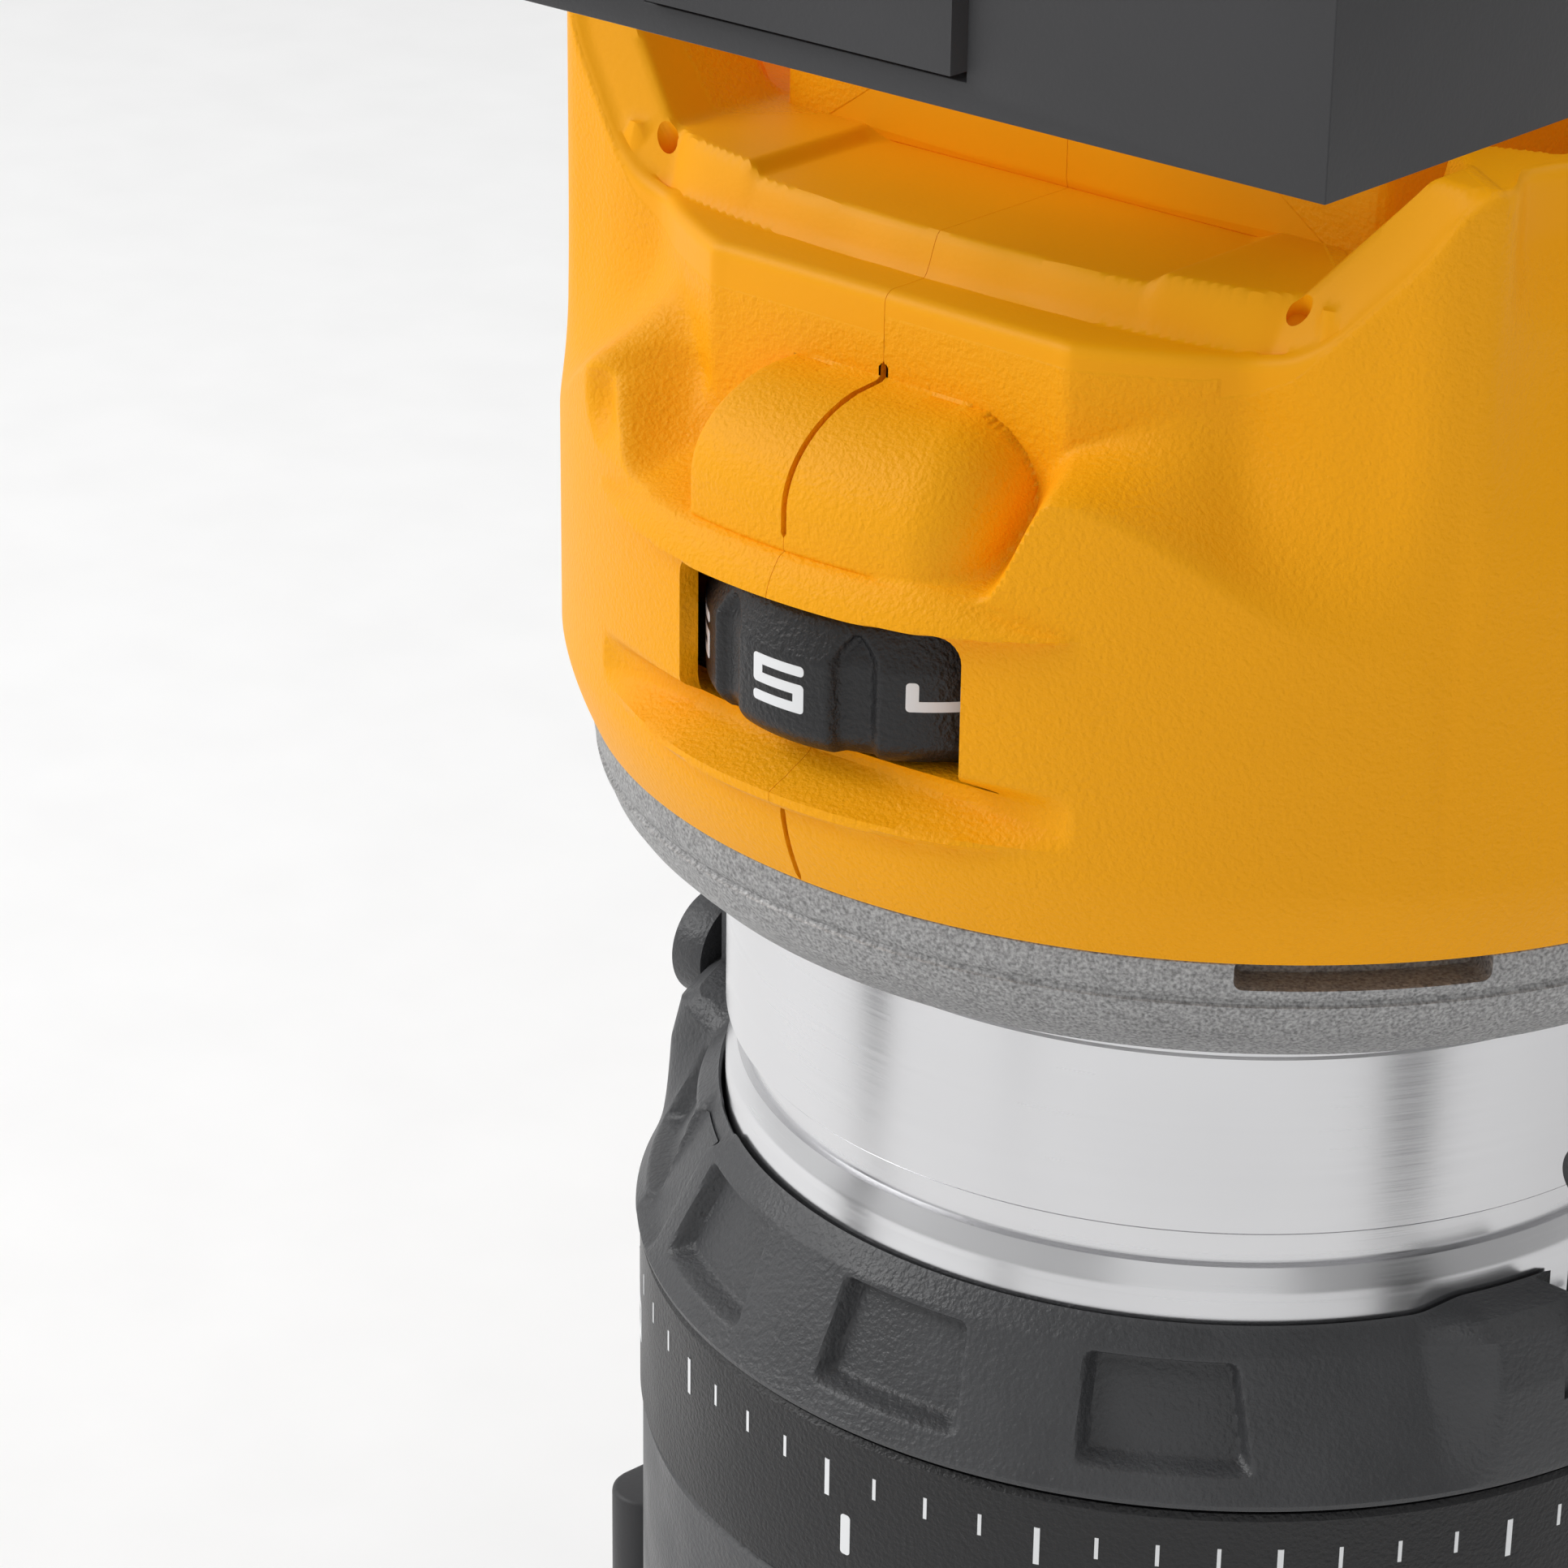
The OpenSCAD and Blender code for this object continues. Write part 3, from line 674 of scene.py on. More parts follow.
def plan_radius(az):
    """Radius of the wall over the round body: a flat face in front, the curve at the sides."""
    a = fold(az)
    flat = 37.1 / np.cos(np.radians(np.minimum(a, 21.2)))
    w = smooth((a - 19.2) / 4.0)
    return flat * (1.0 - w) + np.interp(np.maximum(a, 21.2), *PLAN_CURVE) * w


def visor(az, z):
    """Height of the visor over the dial window."""
    span = np.where(az < 0, -az / 26.0, az / 24.8)
    inside = np.clip(1.0 - span**2.6, 0.0, 1.0)
    low = 19.75 + 0.95 * span**2
    high = 22.9 - 1.9 * smooth((span - 0.45) / 0.55)
    t = (z - low) / np.maximum(high - low, 0.05)
    rise = smooth((z - low + 0.12) / 0.24)
    return np.where(span < 1, 1.75 * inside**0.7 * rise * np.clip(1.0 - np.clip(t, 0, 2) ** 1.8, 0.0, 1.0), 0.0)


def ridge_and_scoop(az, z):
    """Change of radius at the ridge under the dial window and the scoop over it."""
    span = np.where(az < 0, -az / 25.4, az / 24.8)
    inside = np.where(span < 1, np.clip(1.0 - span**2.4, 0.0, 1.0), 0.0)
    low = 5.45 + 1.5 * np.clip(span, 0, 1) ** 2
    crest = 7.35 - 0.35 * smooth(span)
    up = smooth((z - low) / 0.9)
    down = smooth((z - crest + 0.35) / 0.55)
    ridge = 1.3 * inside**0.6 * up * (1.0 - down)
    dip = 2.6 * inside**0.8 * smooth((z - crest + 0.1) / 1.6) * (1.0 - smooth((z - 9.4) / 1.6))
    return ridge - dip


def racetrack(az, z):
    """Depth of the long rounded recess around the boss."""
    s = az * 0.799
    d = np.hypot(np.maximum(-20.4 - s, 0.0) + np.maximum(s - 14.0, 0.0), z - 26.0) - 3.55
    return 1.5 * smooth(-d / 2.2)


def boss(az, z):
    """Radius of the rounded boss that crosses the seam, or 0 away from it."""
    s = az * 0.799
    ue = np.maximum(z - 25.0, 0.0) / 6.2
    ul = np.maximum(22.7 - z, 0.0) / 0.9
    ur = np.maximum(s - 8.4, 0.0) / 6.8
    inside = 1.0 - ue**2 - ur**2 - ul**2
    r = 37.5 + 8.5 * np.sqrt(np.clip(inside, 0.0, 1.0))
    edge = smooth((s + 9.3) / 0.7)
    return np.where(inside > 0, r * edge, 0.0)


def boss_bay(az):
    """1 where the boss stands in front of the wall and the body stops at the visor, 0 elsewhere."""
    return smooth((az + 30.0) / 11.0) * (1.0 - smooth((az - 17.0) / 5.5)) * (np.abs(az) < 60)


def head_radius(az, z):
    """Outer radius of the head at an azimuth and a height above its lower edge, up to its top edge."""
    a = fold(az)
    bay = boss_bay(az)
    body = BODY_R - 1.75 * np.clip(1.0 - z / 5.5, 0.0, 1.0) ** 1.5
    edge = np.interp(a, *EDGE_CURVE) - 0.9 * (az > 0) * (1.0 - smooth((az - 18.0) / 7.0))
    edge = edge * (1.0 - bay) + 22.5 * bay
    u = plan_radius(az)
    high = np.where(az > 0, 30.0 + 4.0 * smooth((az - 18.0) / 16.0), 31.4 + 2.6 * smooth((-az - 16.0) / 14.0))
    high = np.where(a > 34.0, 34.0, high * (1.0 - bay) + 30.0 * bay)
    t = np.maximum(high - z, 0.0) / (high - edge)
    upper = u + (BODY_R - u) * t ** (2.0 + 2.4 * bay)
    front = soft_min(body, upper, 1.3)
    front = np.where(z > high, np.minimum(u, front), front)
    side = body - (BODY_R - np.minimum(u, BODY_R)) * smooth((z - 24.0) / 14.0)
    side = side - 1.5 * smooth((z - 39.0) / 4.2) * smooth((a - 55.0) / 3.0)
    side = side - 0.45 * smooth((z - 43.4) / 0.4) * smooth((a - 55.0) / 2.0)
    w = smooth((a - 52.0) / 3.0)
    r = front * (1.0 - w) + side * w
    at_front = (np.abs(az) < 40).astype(float)
    r = r - racetrack(az, z) * at_front * (1.0 - bay) * (az < 0)
    r = r + (visor(az, z) + ridge_and_scoop(az, z)) * at_front
    b = boss(az, z) * at_front
    return np.where(b > 0, soft_max(r, b, 0.3 + 2.2 * smooth((az - 6.0) / 9.0)), r)


def top_edge(az):
    """Height of the head's upper edge."""
    return np.interp(fold(az), *TOP_CURVE)


def head_top(az, r):
    """Height of the head's upper surface at an azimuth and a radius inside its edge."""
    a = fold(az)
    x = np.abs(r * np.sin(np.radians(az)))
    yf = -r * np.cos(np.radians(a))
    deck = DECK + 0.8 * smooth((x - 15.2) / 1.6)
    step = np.interp(a, *STEP_CURVE)
    front = np.where(a < 42, LIP + (deck - LIP) * smooth((step - r) / 1.5), deck)
    gusset = 98.2 + 2.37 * (0.17 * x + 0.98 * yf)
    inner = 40.0 + 1.15 * (x - 24.7)
    raised = soft_min(soft_min(gusset, inner, 0.6), CAP, 0.6)
    lim = np.where(a < 36.0, -99.0, raised)
    band_r = 32.2 + (plan_radius(az) - 7.5 - 32.2) * smooth((a - 56.0) / 9.0)
    band = deck + np.clip((r - band_r) * 2.6, 0.0, CAP - 40.3)
    side = soft_min(band, CAP, 0.6)
    w = smooth((a - 53.0) / 2.0)
    upper = soft_max(front, lim, 0.5)
    return np.where(a < 36, front, upper * (1.0 - w) + soft_max(deck, side, 0.5) * w)


def seam_gap(z, r):
    """Half the width of the dark gap between the two shells."""
    open_ = smooth((z - 23.4) / 0.3) * (1.0 - smooth((z - 32.1) / 0.15)) * smooth((r - 36.8) / 0.2)
    open_ = open_ * (1.0 + 0.8 * smooth((z - 30.6) / 0.6))
    low = smooth((z - 0.2) / 0.2) * (1.0 - smooth((z - 5.4) / 0.3))
    return SEAM + 0.2 * np.maximum(open_, low)


def head_columns():
    """Azimuths of one shell's columns, closest together at the front."""
    near = steps(0.0, 62.0, 0.35)
    return joined(near, steps(62.0, 118.0, 1.4), steps(118.0, 180.0, 1.2))


def head_half(name, side, materials):
    """One shell of the head as a closed mesh. side is -1 for the half at -X and 1 for the half at +X."""
    az = head_columns() * side
    z_wall = joined(steps(0.0, 5.5, 0.35), steps(5.5, 19.5, 0.3), steps(19.5, 24.0, 0.15), steps(24.0, 34.0, 0.2))
    rows = []
    for z in z_wall:
        rows.append((head_radius(az, np.full_like(az, z)), np.full_like(az, z)))
    top = top_edge(az)
    for t in steps(0.0, 1.0, 0.05)[1:]:
        z = 34.0 + (top - 0.8 - 34.0) * t
        rows.append((head_radius(az, z), z))
    r_edge = head_radius(az, np.full_like(az, 0.0) + top - 0.8)
    for k in (22.5, 45.0, 67.5, 90.0):
        q = math.radians(k)
        rows.append((r_edge - 0.8 * (1 - math.cos(q)), top - 0.8 + 0.8 * math.sin(q)))
    r_start = r_edge - 0.8
    inward = [1.0 - k / 44.0 for k in range(1, 45)] + [None]
    for t in inward[:-1]:
        r = 26.0 + (r_start - 26.0) * t
        rows.append((r, head_top(az, r)))
    for r0 in (23.0, 20.0, 17.0, 14.0, 11.0):
        r = np.full_like(az, r0)
        rows.append((r, head_top(az, r)))
    # Inner skin, from the middle hole back down to the bottom rim.
    inner = []
    for r0 in (11.0, 17.0, 23.0, 26.0):
        r = np.full_like(az, r0)
        inner.append((r, head_top(az, r) - 2.6))
    for t in (0.2, 0.4, 0.55, 0.7, 0.82):
        r = 26.0 + (r_start - 26.0) * t
        inner.append((r, np.minimum(head_top(az, r), head_top(az, r + 2.0)) - 2.6))
    for z in (33.0, 30.0, 27.0, 23.0, 19.6, 14.0, 9.6, 6.0):
        zz = np.full_like(az, z)
        limit = np.minimum(head_radius(az, zz), head_radius(az, zz + 2.5)) - 2.4
        inner.append((np.minimum(limit, 43.2), zz))
    inner.append((np.full_like(az, 43.2) - 0.4, np.full_like(az, 3.0)))
    inner.append((np.full_like(az, 41.6), np.zeros_like(az)))
    rows += inner
    verts = []
    for r, z in rows:
        p = ring_points(az, r, z + HEAD_Z)
        gap = seam_gap(z[0], r[0])
        p[0, 0] = side * gap
        p[-1, 0] = side * SEAM
        verts.append(p)
    n = len(az)
    count = len(rows)
    faces = grid_faces(count, n, False)
    last = (count - 1) * n
    for c in range(n - 1):
        faces.append((last + c, last + c + 1, c + 1, c))
    front_cap = [r * n for r in range(count)]
    rear_cap = [r * n + n - 1 for r in range(count)]
    faces.append(tuple(front_cap))
    faces.append(tuple(rear_cap[::-1]))
    if side < 0:
        faces = [f[::-1] for f in faces]
    return face_outwards(new_object(name, np.concatenate(verts), faces, materials, HEAD_ANGLE), 10)


def rounded_rect(w, h, r, n=5):
    """Outline points of a rounded rectangle about the origin, anticlockwise."""
    pts = []
    x, y = w / 2 - r, h / 2 - r
    for cx, cy, a0 in ((x, -y, -90), (x, y, 0), (-x, y, 90), (-x, -y, 180)):
        for k in range(n + 1):
            q = math.radians(a0 + 90.0 * k / n)
            pts.append((cx + r * math.cos(q), cy + r * math.sin(q)))
    return pts


def radial_cutter(name, mid, z_mid, width, height, corner, r0, r1, materials):
    """A rounded-rectangle bar along a radius, its width kept to an angle. Width is in degrees."""
    across = math.radians(width) * BODY_R
    pts = rounded_rect(across, height, corner, 6)
    # Long top and bottom edges get extra points, so they follow the curve.
    dense = []
    for i, p in enumerate(pts):
        q = pts[(i + 1) % len(pts)]
        steps_ = max(1, int(math.dist(p, q) / 0.8))
        for k in range(steps_):
            dense.append((p[0] + (q[0] - p[0]) * k / steps_, p[1] + (q[1] - p[1]) * k / steps_))
    rings = []
    az = np.array([mid + math.degrees(p[0] / BODY_R) for p in dense])
    z = np.array([z_mid + p[1] for p in dense])
    for r in (r0, r1):
        rings.append(ring_points(az, np.full(len(dense), r), z))
    n = len(dense)
    verts = np.concatenate(rings)
    faces = [(i, n + i, n + (i + 1) % n, (i + 1) % n) for i in range(n)]
    faces.append(tuple(range(n)))
    faces.append(tuple(range(2 * n - 1, n - 1, -1)))
    return face_outwards(new_object(name, verts, faces, materials), 4)


def arc_block(name, mid, width, z0, z1, r0, r1, materials):
    """A solid block of a ring, width degrees wide about an azimuth."""
    az = mid + steps(-width / 2, width / 2, 0.5)
    n = len(az)
    corners = ((r0, z0), (r1, z0), (r1, z1), (r0, z1))
    verts, faces = closed_tube_from_rows([ring_points(az, np.full(n, r), np.full(n, z)) for r, z in corners], False)
    faces += [(0, n, 2 * n, 3 * n), (4 * n - 1, 3 * n - 1, 2 * n - 1, n - 1)]
    return face_outwards(new_object(name, verts, faces, materials))


def cylinder_between(name, a, b, r, materials, n=24):
    """A closed rod of n sides from point a to point b."""
    a, b = Vector(a), Vector(b)
    bm = bmesh.new()
    d = b - a
    bmesh.ops.create_cone(bm, cap_ends=True, segments=n, radius1=r * MM, radius2=r * MM, depth=d.length * MM)
    turn = d.to_track_quat("Z", "Y").to_matrix().to_4x4()
    bm.transform(Matrix.Translation((a + b) / 2 * MM) @ turn)
    return from_bmesh(name, bm, materials, 40.0)


def foot_pieces(side, materials):
    """The foot with its battery rails, as the solids of one half."""
    out = []
    for width, low, high, bevel in FOOT_BLOCKS:
        full = box_mesh("foot", (-width, FOOT_FRONT, low), (width, FOOT_BACK, high), materials, bevel)
        x = sorted((-side * 90.0, side * SEAM))
        far = box_mesh("far", (x[0], -90, 0), (x[1], 90, 300), materials)
        boolean(full, [far], "DIFFERENCE")
        out.append(full)
    return out


def grain_values(ob):
    """Stores where the head is textured: 1 on the body, 0 on the smooth lip, deck and pillar tops."""
    mesh = ob.data
    co = np.zeros(len(mesh.vertices) * 3)
    mesh.vertices.foreach_get("co", co)
    co = co.reshape(-1, 3) / MM
    az = np.degrees(np.arctan2(co[:, 0], -co[:, 1]))
    z = co[:, 2] - HEAD_Z
    line = curve(fold(az), GRAIN_LINE) + 1.2 * (az > 0) * (az < 34)
    value = 1.0 - smooth((z - line + 0.1) / 0.2)
    attribute = mesh.attributes.get("grain") or mesh.attributes.new("grain", "FLOAT", "POINT")
    attribute.data.foreach_set("value", (0.12 + 0.88 * value).astype(np.float32))


def build_head(look):
    """The two shells, with the dial window, switch hole, vents, screw recesses and drains cut in."""
    shell = MATERIALS["yellow_shell"]
    shells = []
    for name, side in (("housing_shell_left", -1), ("housing_shell_right", 1)):
        ob = head_half(name, side, [shell])
        boolean(ob, foot_pieces(side, [shell]), "UNION")
        if side < 0:
            # Posts behind the wall that carry the screw recesses.
            posts = [
                cylinder_between("post", (-math.sqrt(POST_R**2 - y * y), y, z), (-20.0, y, z), 3.6, [shell], 28)
                for y, z in SHELL_SCREWS
            ]
            boolean(ob, posts, "UNION")
        cutters = [radial_cutter("window", 1.8, HEAD_Z + 14.6, 28.2, 10.0, 1.5, 38.0, 52.0, [shell])]
        cutters.append(arc_block("dial_pocket", 1.8, 40.0, HEAD_Z + 9.6, HEAD_Z + 22.0, 36.0, 44.4, [shell]))
        cutters.append(radial_cutter("switch_hole", 180.0, HEAD_Z + 19.0, 24.5, 21.4, 2.2, 36.0, 52.0, [shell]))
        for mid in (118, 124, 130):
            cutters.append(radial_cutter("vent", mid * side, HEAD_Z + 14.0, 2.8, 12.0, 1.0, 38.0, 52.0, [shell]))
        if side < 0:
            for y, z in SHELL_SCREWS:
                cutters.append(cylinder_between("recess", (-60, y, z), (-23.4, y, z), 2.7, [shell], 28))
        # Drain at the foot of each front gusset.
        a = math.radians(40.5 * side)
        low = Vector((38.2 * math.sin(a), -38.2 * math.cos(a), HEAD_Z + 38.6))
        cutters.append(cylinder_between("drain", low, low + Vector((side * 1.6, -2.2, 4.4)), 0.75, [shell], 20))
        boolean(ob, cutters, "DIFFERENCE")
        shade(ob, HEAD_ANGLE)
        grain_values(ob)
        shells.append(ob)
    place(shells[0], "motor_pack", "yellow_shell", "housing_left")
    place(shells[1], "motor_pack", "yellow_shell", "housing_right")


# ------------------------------------------------------------------ dial


DIGITS = {
    "0": ["#####", "##.##", "##.##", "##.##", "##.##", "##.##", "#####"],
    "1": ["...##", "...##", "...##", "...##", "...##", "...##", "...##"],
    "2": ["#####", "...##", "...##", "#####", "##...", "##...", "#####"],
    "3": ["#####", "...##", "...##", ".####", "...##", "...##", "#####"],
    "4": ["##.##", "##.##", "##.##", "#####", "...##", "...##", "...##"],
    "5": ["#####", "##...", "##...", "#####", "...##", "...##", "#####"],
    "6": ["#####", "##...", "##...", "#####", "##.##", "##.##", "#####"],
    "7": ["#####", "...##", "...##", "...##", "...##", "...##", "...##"],
}
DIGIT_W = [0.0, 0.4, 0.8, 3.3, 3.7, 4.1]
DIGIT_H = [3.1, 2.43, 2.15, 1.89, 1.21, 0.95, 0.67, 0.0]
DIGIT_STEP = 45.0


def digit_mesh(text, angle, low, radius, centre_y, materials):
    """A squarish digit with rounded corners, wrapped on a band about (0, centre_y) as a thin solid."""
    bm = bmesh.new()
    at = {}
    for r, line in enumerate(DIGITS[text]):
        for c, mark in enumerate(line):
            if mark == "#":
                keys = ((c, r + 1), (c + 1, r + 1), (c + 1, r), (c, r))
                for k in keys:
                    if k not in at:
                        at[k] = bm.verts.new((DIGIT_W[k[0]], 0.0, DIGIT_H[k[1]]))
                bm.faces.new([at[k] for k in keys])
    outer = [v for v in bm.verts if len(v.link_faces) == 1]
    bmesh.ops.bevel(bm, geom=outer, offset=0.26, segments=4, profile=0.5, affect="VERTICES")
    for k in range(1, 14):
        geom = bm.verts[:] + bm.edges[:] + bm.faces[:]
        bmesh.ops.bisect_plane(bm, geom=geom, plane_co=(0.3 * k, 0, 0), plane_no=(1, 0, 0))
    grown = bmesh.ops.extrude_face_region(bm, geom=bm.faces[:])["geom"]
    for v in [e for e in grown if isinstance(e, bmesh.types.BMVert)]:
        v.co.y = 1.0
    for v in bm.verts:
        q = math.radians(angle) + (v.co.x - DIGIT_W[-1] / 2) / radius
        r = radius + 0.02 - 0.1 * v.co.y
        v.co = Vector((r * math.sin(q), centre_y - r * math.cos(q), low + v.co.z)) * MM
    bmesh.ops.recalc_face_normals(bm, faces=bm.faces[:])
    return from_bmesh("print", bm, materials)


def dial_radius(phi, z):
    """Radius of the dial at an angle about its own axis and a height above its lower face."""
    off = phi % DIGIT_STEP - DIGIT_STEP / 2
    s = np.radians(off) * DIAL_R
    r = DIAL_R - 1.0 * np.clip(1.0 - z / 1.5, 0.0, 1.0) ** 2
    r = r - 0.34 * np.maximum(z - 6.1, 0.0) - 1.2 * np.maximum(z - 8.4, 0.0) ** 2
    half = 1.75 * np.sqrt(np.clip((8.1 - z) / 1.6, 0.0, 1.0))
    notch = 0.7 * smooth((half - np.abs(s)) / 0.85) * (z < 8.1)
    return r - notch


def build_dial(look):
    """Speed dial with its notches, stepped top and raised numbers."""
    plastic, ink = MATERIALS["dial_plastic"], MATERIALS["dial_print"]
    n = 480
    phi = np.arange(n) * 360.0 / n
    heights = joined(steps(0.0, 1.6, 0.2), steps(1.6, 6.1, 0.3), steps(6.1, 8.4, 0.15), steps(8.4, 9.4, 0.15))
    rows = [ring_points(phi, np.full(n, 3.2), np.full(n, 0.0))]
    rows.append(ring_points(phi, np.full(n, DIAL_R - 2.0), np.zeros(n)))
    for z in heights:
        rows.append(ring_points(phi, dial_radius(phi, np.full(n, z)), np.full(n, z)))
    rows.append(ring_points(phi, np.full(n, DIAL_R - 3.2), np.full(n, 9.9)))
    rows.append(ring_points(phi, np.full(n, 3.2), np.full(n, 9.9)))
    verts, faces = closed_tube_from_rows(rows)
    verts = verts + np.array([0.0, DIAL_Y, DIAL_LOW])
    dial = new_object("speed_dial_wheel", verts, faces, [plastic, ink], 40.0)
    prints = []
    for k, digit in enumerate("654321"):
        prints.append(digit_mesh(digit, DIGIT_STEP * (k - 1), HEAD_Z + 12.5, DIAL_R, DIAL_Y, [ink]))
    join_into(dial, prints)
    shade(dial, 40.0)
    place(dial, "speed_dial", "dial_plastic", "speed_dial")


# ------------------------------------------------------------------ plate and tube


def build_plate(look):
    """Cast ring between the head and the tube, with its two air slots."""
    m = [MATERIALS["cast_alloy"]]
    bore = TUBE_R + 0.06
    # (radius, depth under the head's lower edge)
    outline = [
        (bore, 8.35), (39.55, 8.35), (39.95, 8.15), (41.1, 7.1), (42.1, 6.1), (42.75, 5.2), (43.1, 4.3), (43.45, 3.6),
        (43.55, 3.2), (43.35, 3.05), (43.3, 2.9), (43.65, 2.2), (43.8, 1.2), (43.85, 0.2), (43.7, 0.02), (bore, 0.02),
    ]
    ob = lathe("front_plate_ring", [(radius, HEAD_Z - depth) for radius, depth in outline], 360, m, 30.0)
    cutters = []
    for mid in (48.2, -131.8):
        cutters.append(radial_cutter("slot", mid, HEAD_Z - 0.9, 21.0, 2.1, 0.6, 41.0, 48.0, m))
    boolean(ob, cutters, "DIFFERENCE")
    shade(ob, 30.0)
    place(ob, "motor_pack", "cast_alloy", "front_plate")


def build_tube(look):
    """Turned motor tube with its hook groove, guide slots and open lower end."""
    m = [MATERIALS["turned_aluminium"]]
    lo, hi, top = HEAD_Z - 26.8, HEAD_Z - 24.1, HEAD_Z
    # (depth under the tube's surface, height)
    outline = [
        (3.0, 34.0), (18.5, 34.0), (18.5, 29.4), (18.1, 29.0), (1.2, 29.0), (0.0, 30.2), (0.0, lo - 1.7),
        (0.15, lo - 1.3), (0.75, lo - 0.05), (1.2, lo + 0.1), (1.2, hi - 0.25), (0.95, hi), (0.12, hi + 0.05),
        (0.0, hi + 0.2), (0.0, top - 11.4), (0.12, top - 11.2), (0.12, top - 10.9), (0.0, top - 10.7),
        (0.0, top - 8.6), (0.0, top - 0.2), (3.0, top - 0.2),
    ]
    ob = lathe("motor_tube_turned", [(TUBE_R - depth, z) for depth, z in outline], 360, m, 24.0)
    cutters = []
    for s in (-1, 1):
        x = sorted((s * 33.0, s * 37.0))
        cutters.append(box_mesh("guide_slot", (x[0], -2.1, 20), (x[1], 2.1, 84.0), m))
        cutters.append(cylinder_between("lens_hole", (s * 20.0, 0, 20), (s * 20.0, 0, 36), 3.0, m, 40))
    cutters.append(box_mesh("lock_pocket", (-5.3, -40, 29.6), (5.3, -28, 33.6), m, 0.5))
    boolean(ob, cutters, "DIFFERENCE")
    shade(ob, 24.0)
    place(ob, "motor_pack", "turned_aluminium", "motor_tube")


# ------------------------------------------------------------------ depth ring


RING_TOP = 87.6
LOBE_TOP = 88.4
RING_BORE = 34.8
PIN_X, PIN_Z, PIN_END = 37.3, 97.0, 11.0
# Azimuth and width of the cheeks that carry the tabs' pins.
CHEEKS = ((-90.0, 36.0), (100.0, 16.0))
POCKETS = (-60.5, -32.0, -3.5, 25.0, 119.5, 148.0, 176.5, 205.0)
RECESSES = (-39.8, 140.2)


def lobe_share(az):
    """1 on the lobes beside the release tabs, 0 on the plain ring."""
    return smooth((30.5 - np.abs(np.abs(az) - 90.0)) / 6.5)


def pocket_depth(az, z):
    """Depth of the slanted grip pockets on the cone."""
    t = (86.0 - z) / 7.0
    out = np.zeros_like(az + z)
    for base in POCKETS:
        a = (az - base + 180.0) % 360.0 - 180.0
        side = np.minimum(a + 0.2 - 0.6 * t, 15.8 + 1.6 * t - a) * 0.66
        along = np.minimum(85.75 - z, z - 79.0)
        d = soft_min(side, along, 0.7)
        out = np.maximum(out, 1.5 * smooth(d / 0.75))
    return out


def recess_depth(az, z):
    """Depth of the flat between two pockets that is set back a little, from the top band to the rim."""
    out = np.zeros_like(az + z)
    lean = 3.2 * np.clip((z - 85.5) / 1.8, 0.0, 1.0)
    for mid in RECESSES:
        a = (az - mid - lean + 180.0) % 360.0 - 180.0
        out = np.maximum(out, 0.65 * smooth((4.9 - np.abs(a)) * 0.65 / 1.0))
    return out * smooth((z - 77.4) / 1.5)


def ring_outer(az, z):
    """Outer radius of the depth ring: grip cone, lobes beside the tabs, and the rim."""
    cone = curve(z, [(76.9, 40.7), (77.6, 40.9), (78.6, 40.3), (86.0, 36.4)])
    lobe = curve(z, [(76.9, 40.7), (77.6, 40.9), (79.0, 40.9), (84.0, 40.6), (87.4, 39.8)])
    w = lobe_share(az)
    cut = (pocket_depth(az, z) + recess_depth(az, z)) * (1.0 - w)
    return cone * (1.0 - w) + lobe * w - cut


def build_depth_ring(look):
    """Depth ring: rim, grip cone with its pockets, lobes and cheeks around the two tab slots."""
    n = 1200
    az = -180.0 + np.arange(n) * 360.0 / n
    w = lobe_share(az)
    full = lambda v: np.full(n, float(v))
    rows = [
        (full(37.3), full(45.5)), (full(39.9), full(45.5)), (full(40.4), full(46.0)), (full(40.4), full(62.4)),
        (full(40.1), full(62.7)), (full(39.0), full(62.72)), (full(39.0), full(76.98)), (full(40.3), full(77.0)),
    ]
    for z in joined(steps(77.2, 79.0, 0.2), steps(79.0, 80.2, 0.15)):
        rows.append((ring_outer(az, full(z)), full(z)))
    edge_z = 86.0 * (1.0 - w) + 87.4 * w
    for t in joined(steps(0.0, 0.85, 0.04), steps(0.85, 1.0, 0.018))[1:]:
        z = 80.2 + (edge_z - 80.2) * t
        rows.append((ring_outer(az, z), z))
    # Top band, from the cone's edge in to the bore.
    edge_r = rows[-1][0]
    in_z = RING_TOP * (1.0 - w) + LOBE_TOP * w
    for t in (0.08, 0.3, 0.6, 0.85, 1.0):
        r = edge_r + (35.0 - edge_r) * t
        z = edge_z + (in_z - edge_z) * (t * (1.0 - w) + smooth(t * 4.0) * w)
        rows.append((r, z - 0.55 * recess_depth(az, z) * (1.0 - w) * smooth(t / 0.1)))
    rows.append((full(34.82), rows[-1][1] - 0.25))
    rows.append((full(RING_BORE), full(83.0)))
    rows.append((full(RING_BORE), full(78.0)))
    rows.append((full(37.3), full(76.0)))
    verts, faces = closed_tube_from_rows([ring_points(az, r, z) for r, z in rows])
    m = [MATERIALS["ring_plastic"]]
    ob = new_object("depth_adjuster_ring", verts, faces, m, 32.0)
    cheeks = [arc_block("cheek", mid, width, 80.0, 99.2, 35.1, 38.35, m) for mid, width in CHEEKS]
    boolean(ob, cheeks, "UNION")
    cutters = []
    for s in (-1, 1):
        for x, y, z in ((34.0, 9.4, 82.7), (38.4, 12.3, 82.4)):
            xs = sorted((s * x, s * 50.0))
            cutters.append(box_mesh("tab_slot", (xs[0], -y, z), (xs[1], y, 120.0), m))
        cutters.append(cylinder_between("pin_hole", (s * PIN_X, -30, PIN_Z), (s * PIN_X, 30, PIN_Z), 1.0, m))
    boolean(ob, cutters, "DIFFERENCE")
    shade(ob, 32.0)
    place(ob, "depth_ring", "ring_plastic", "depth_ring")


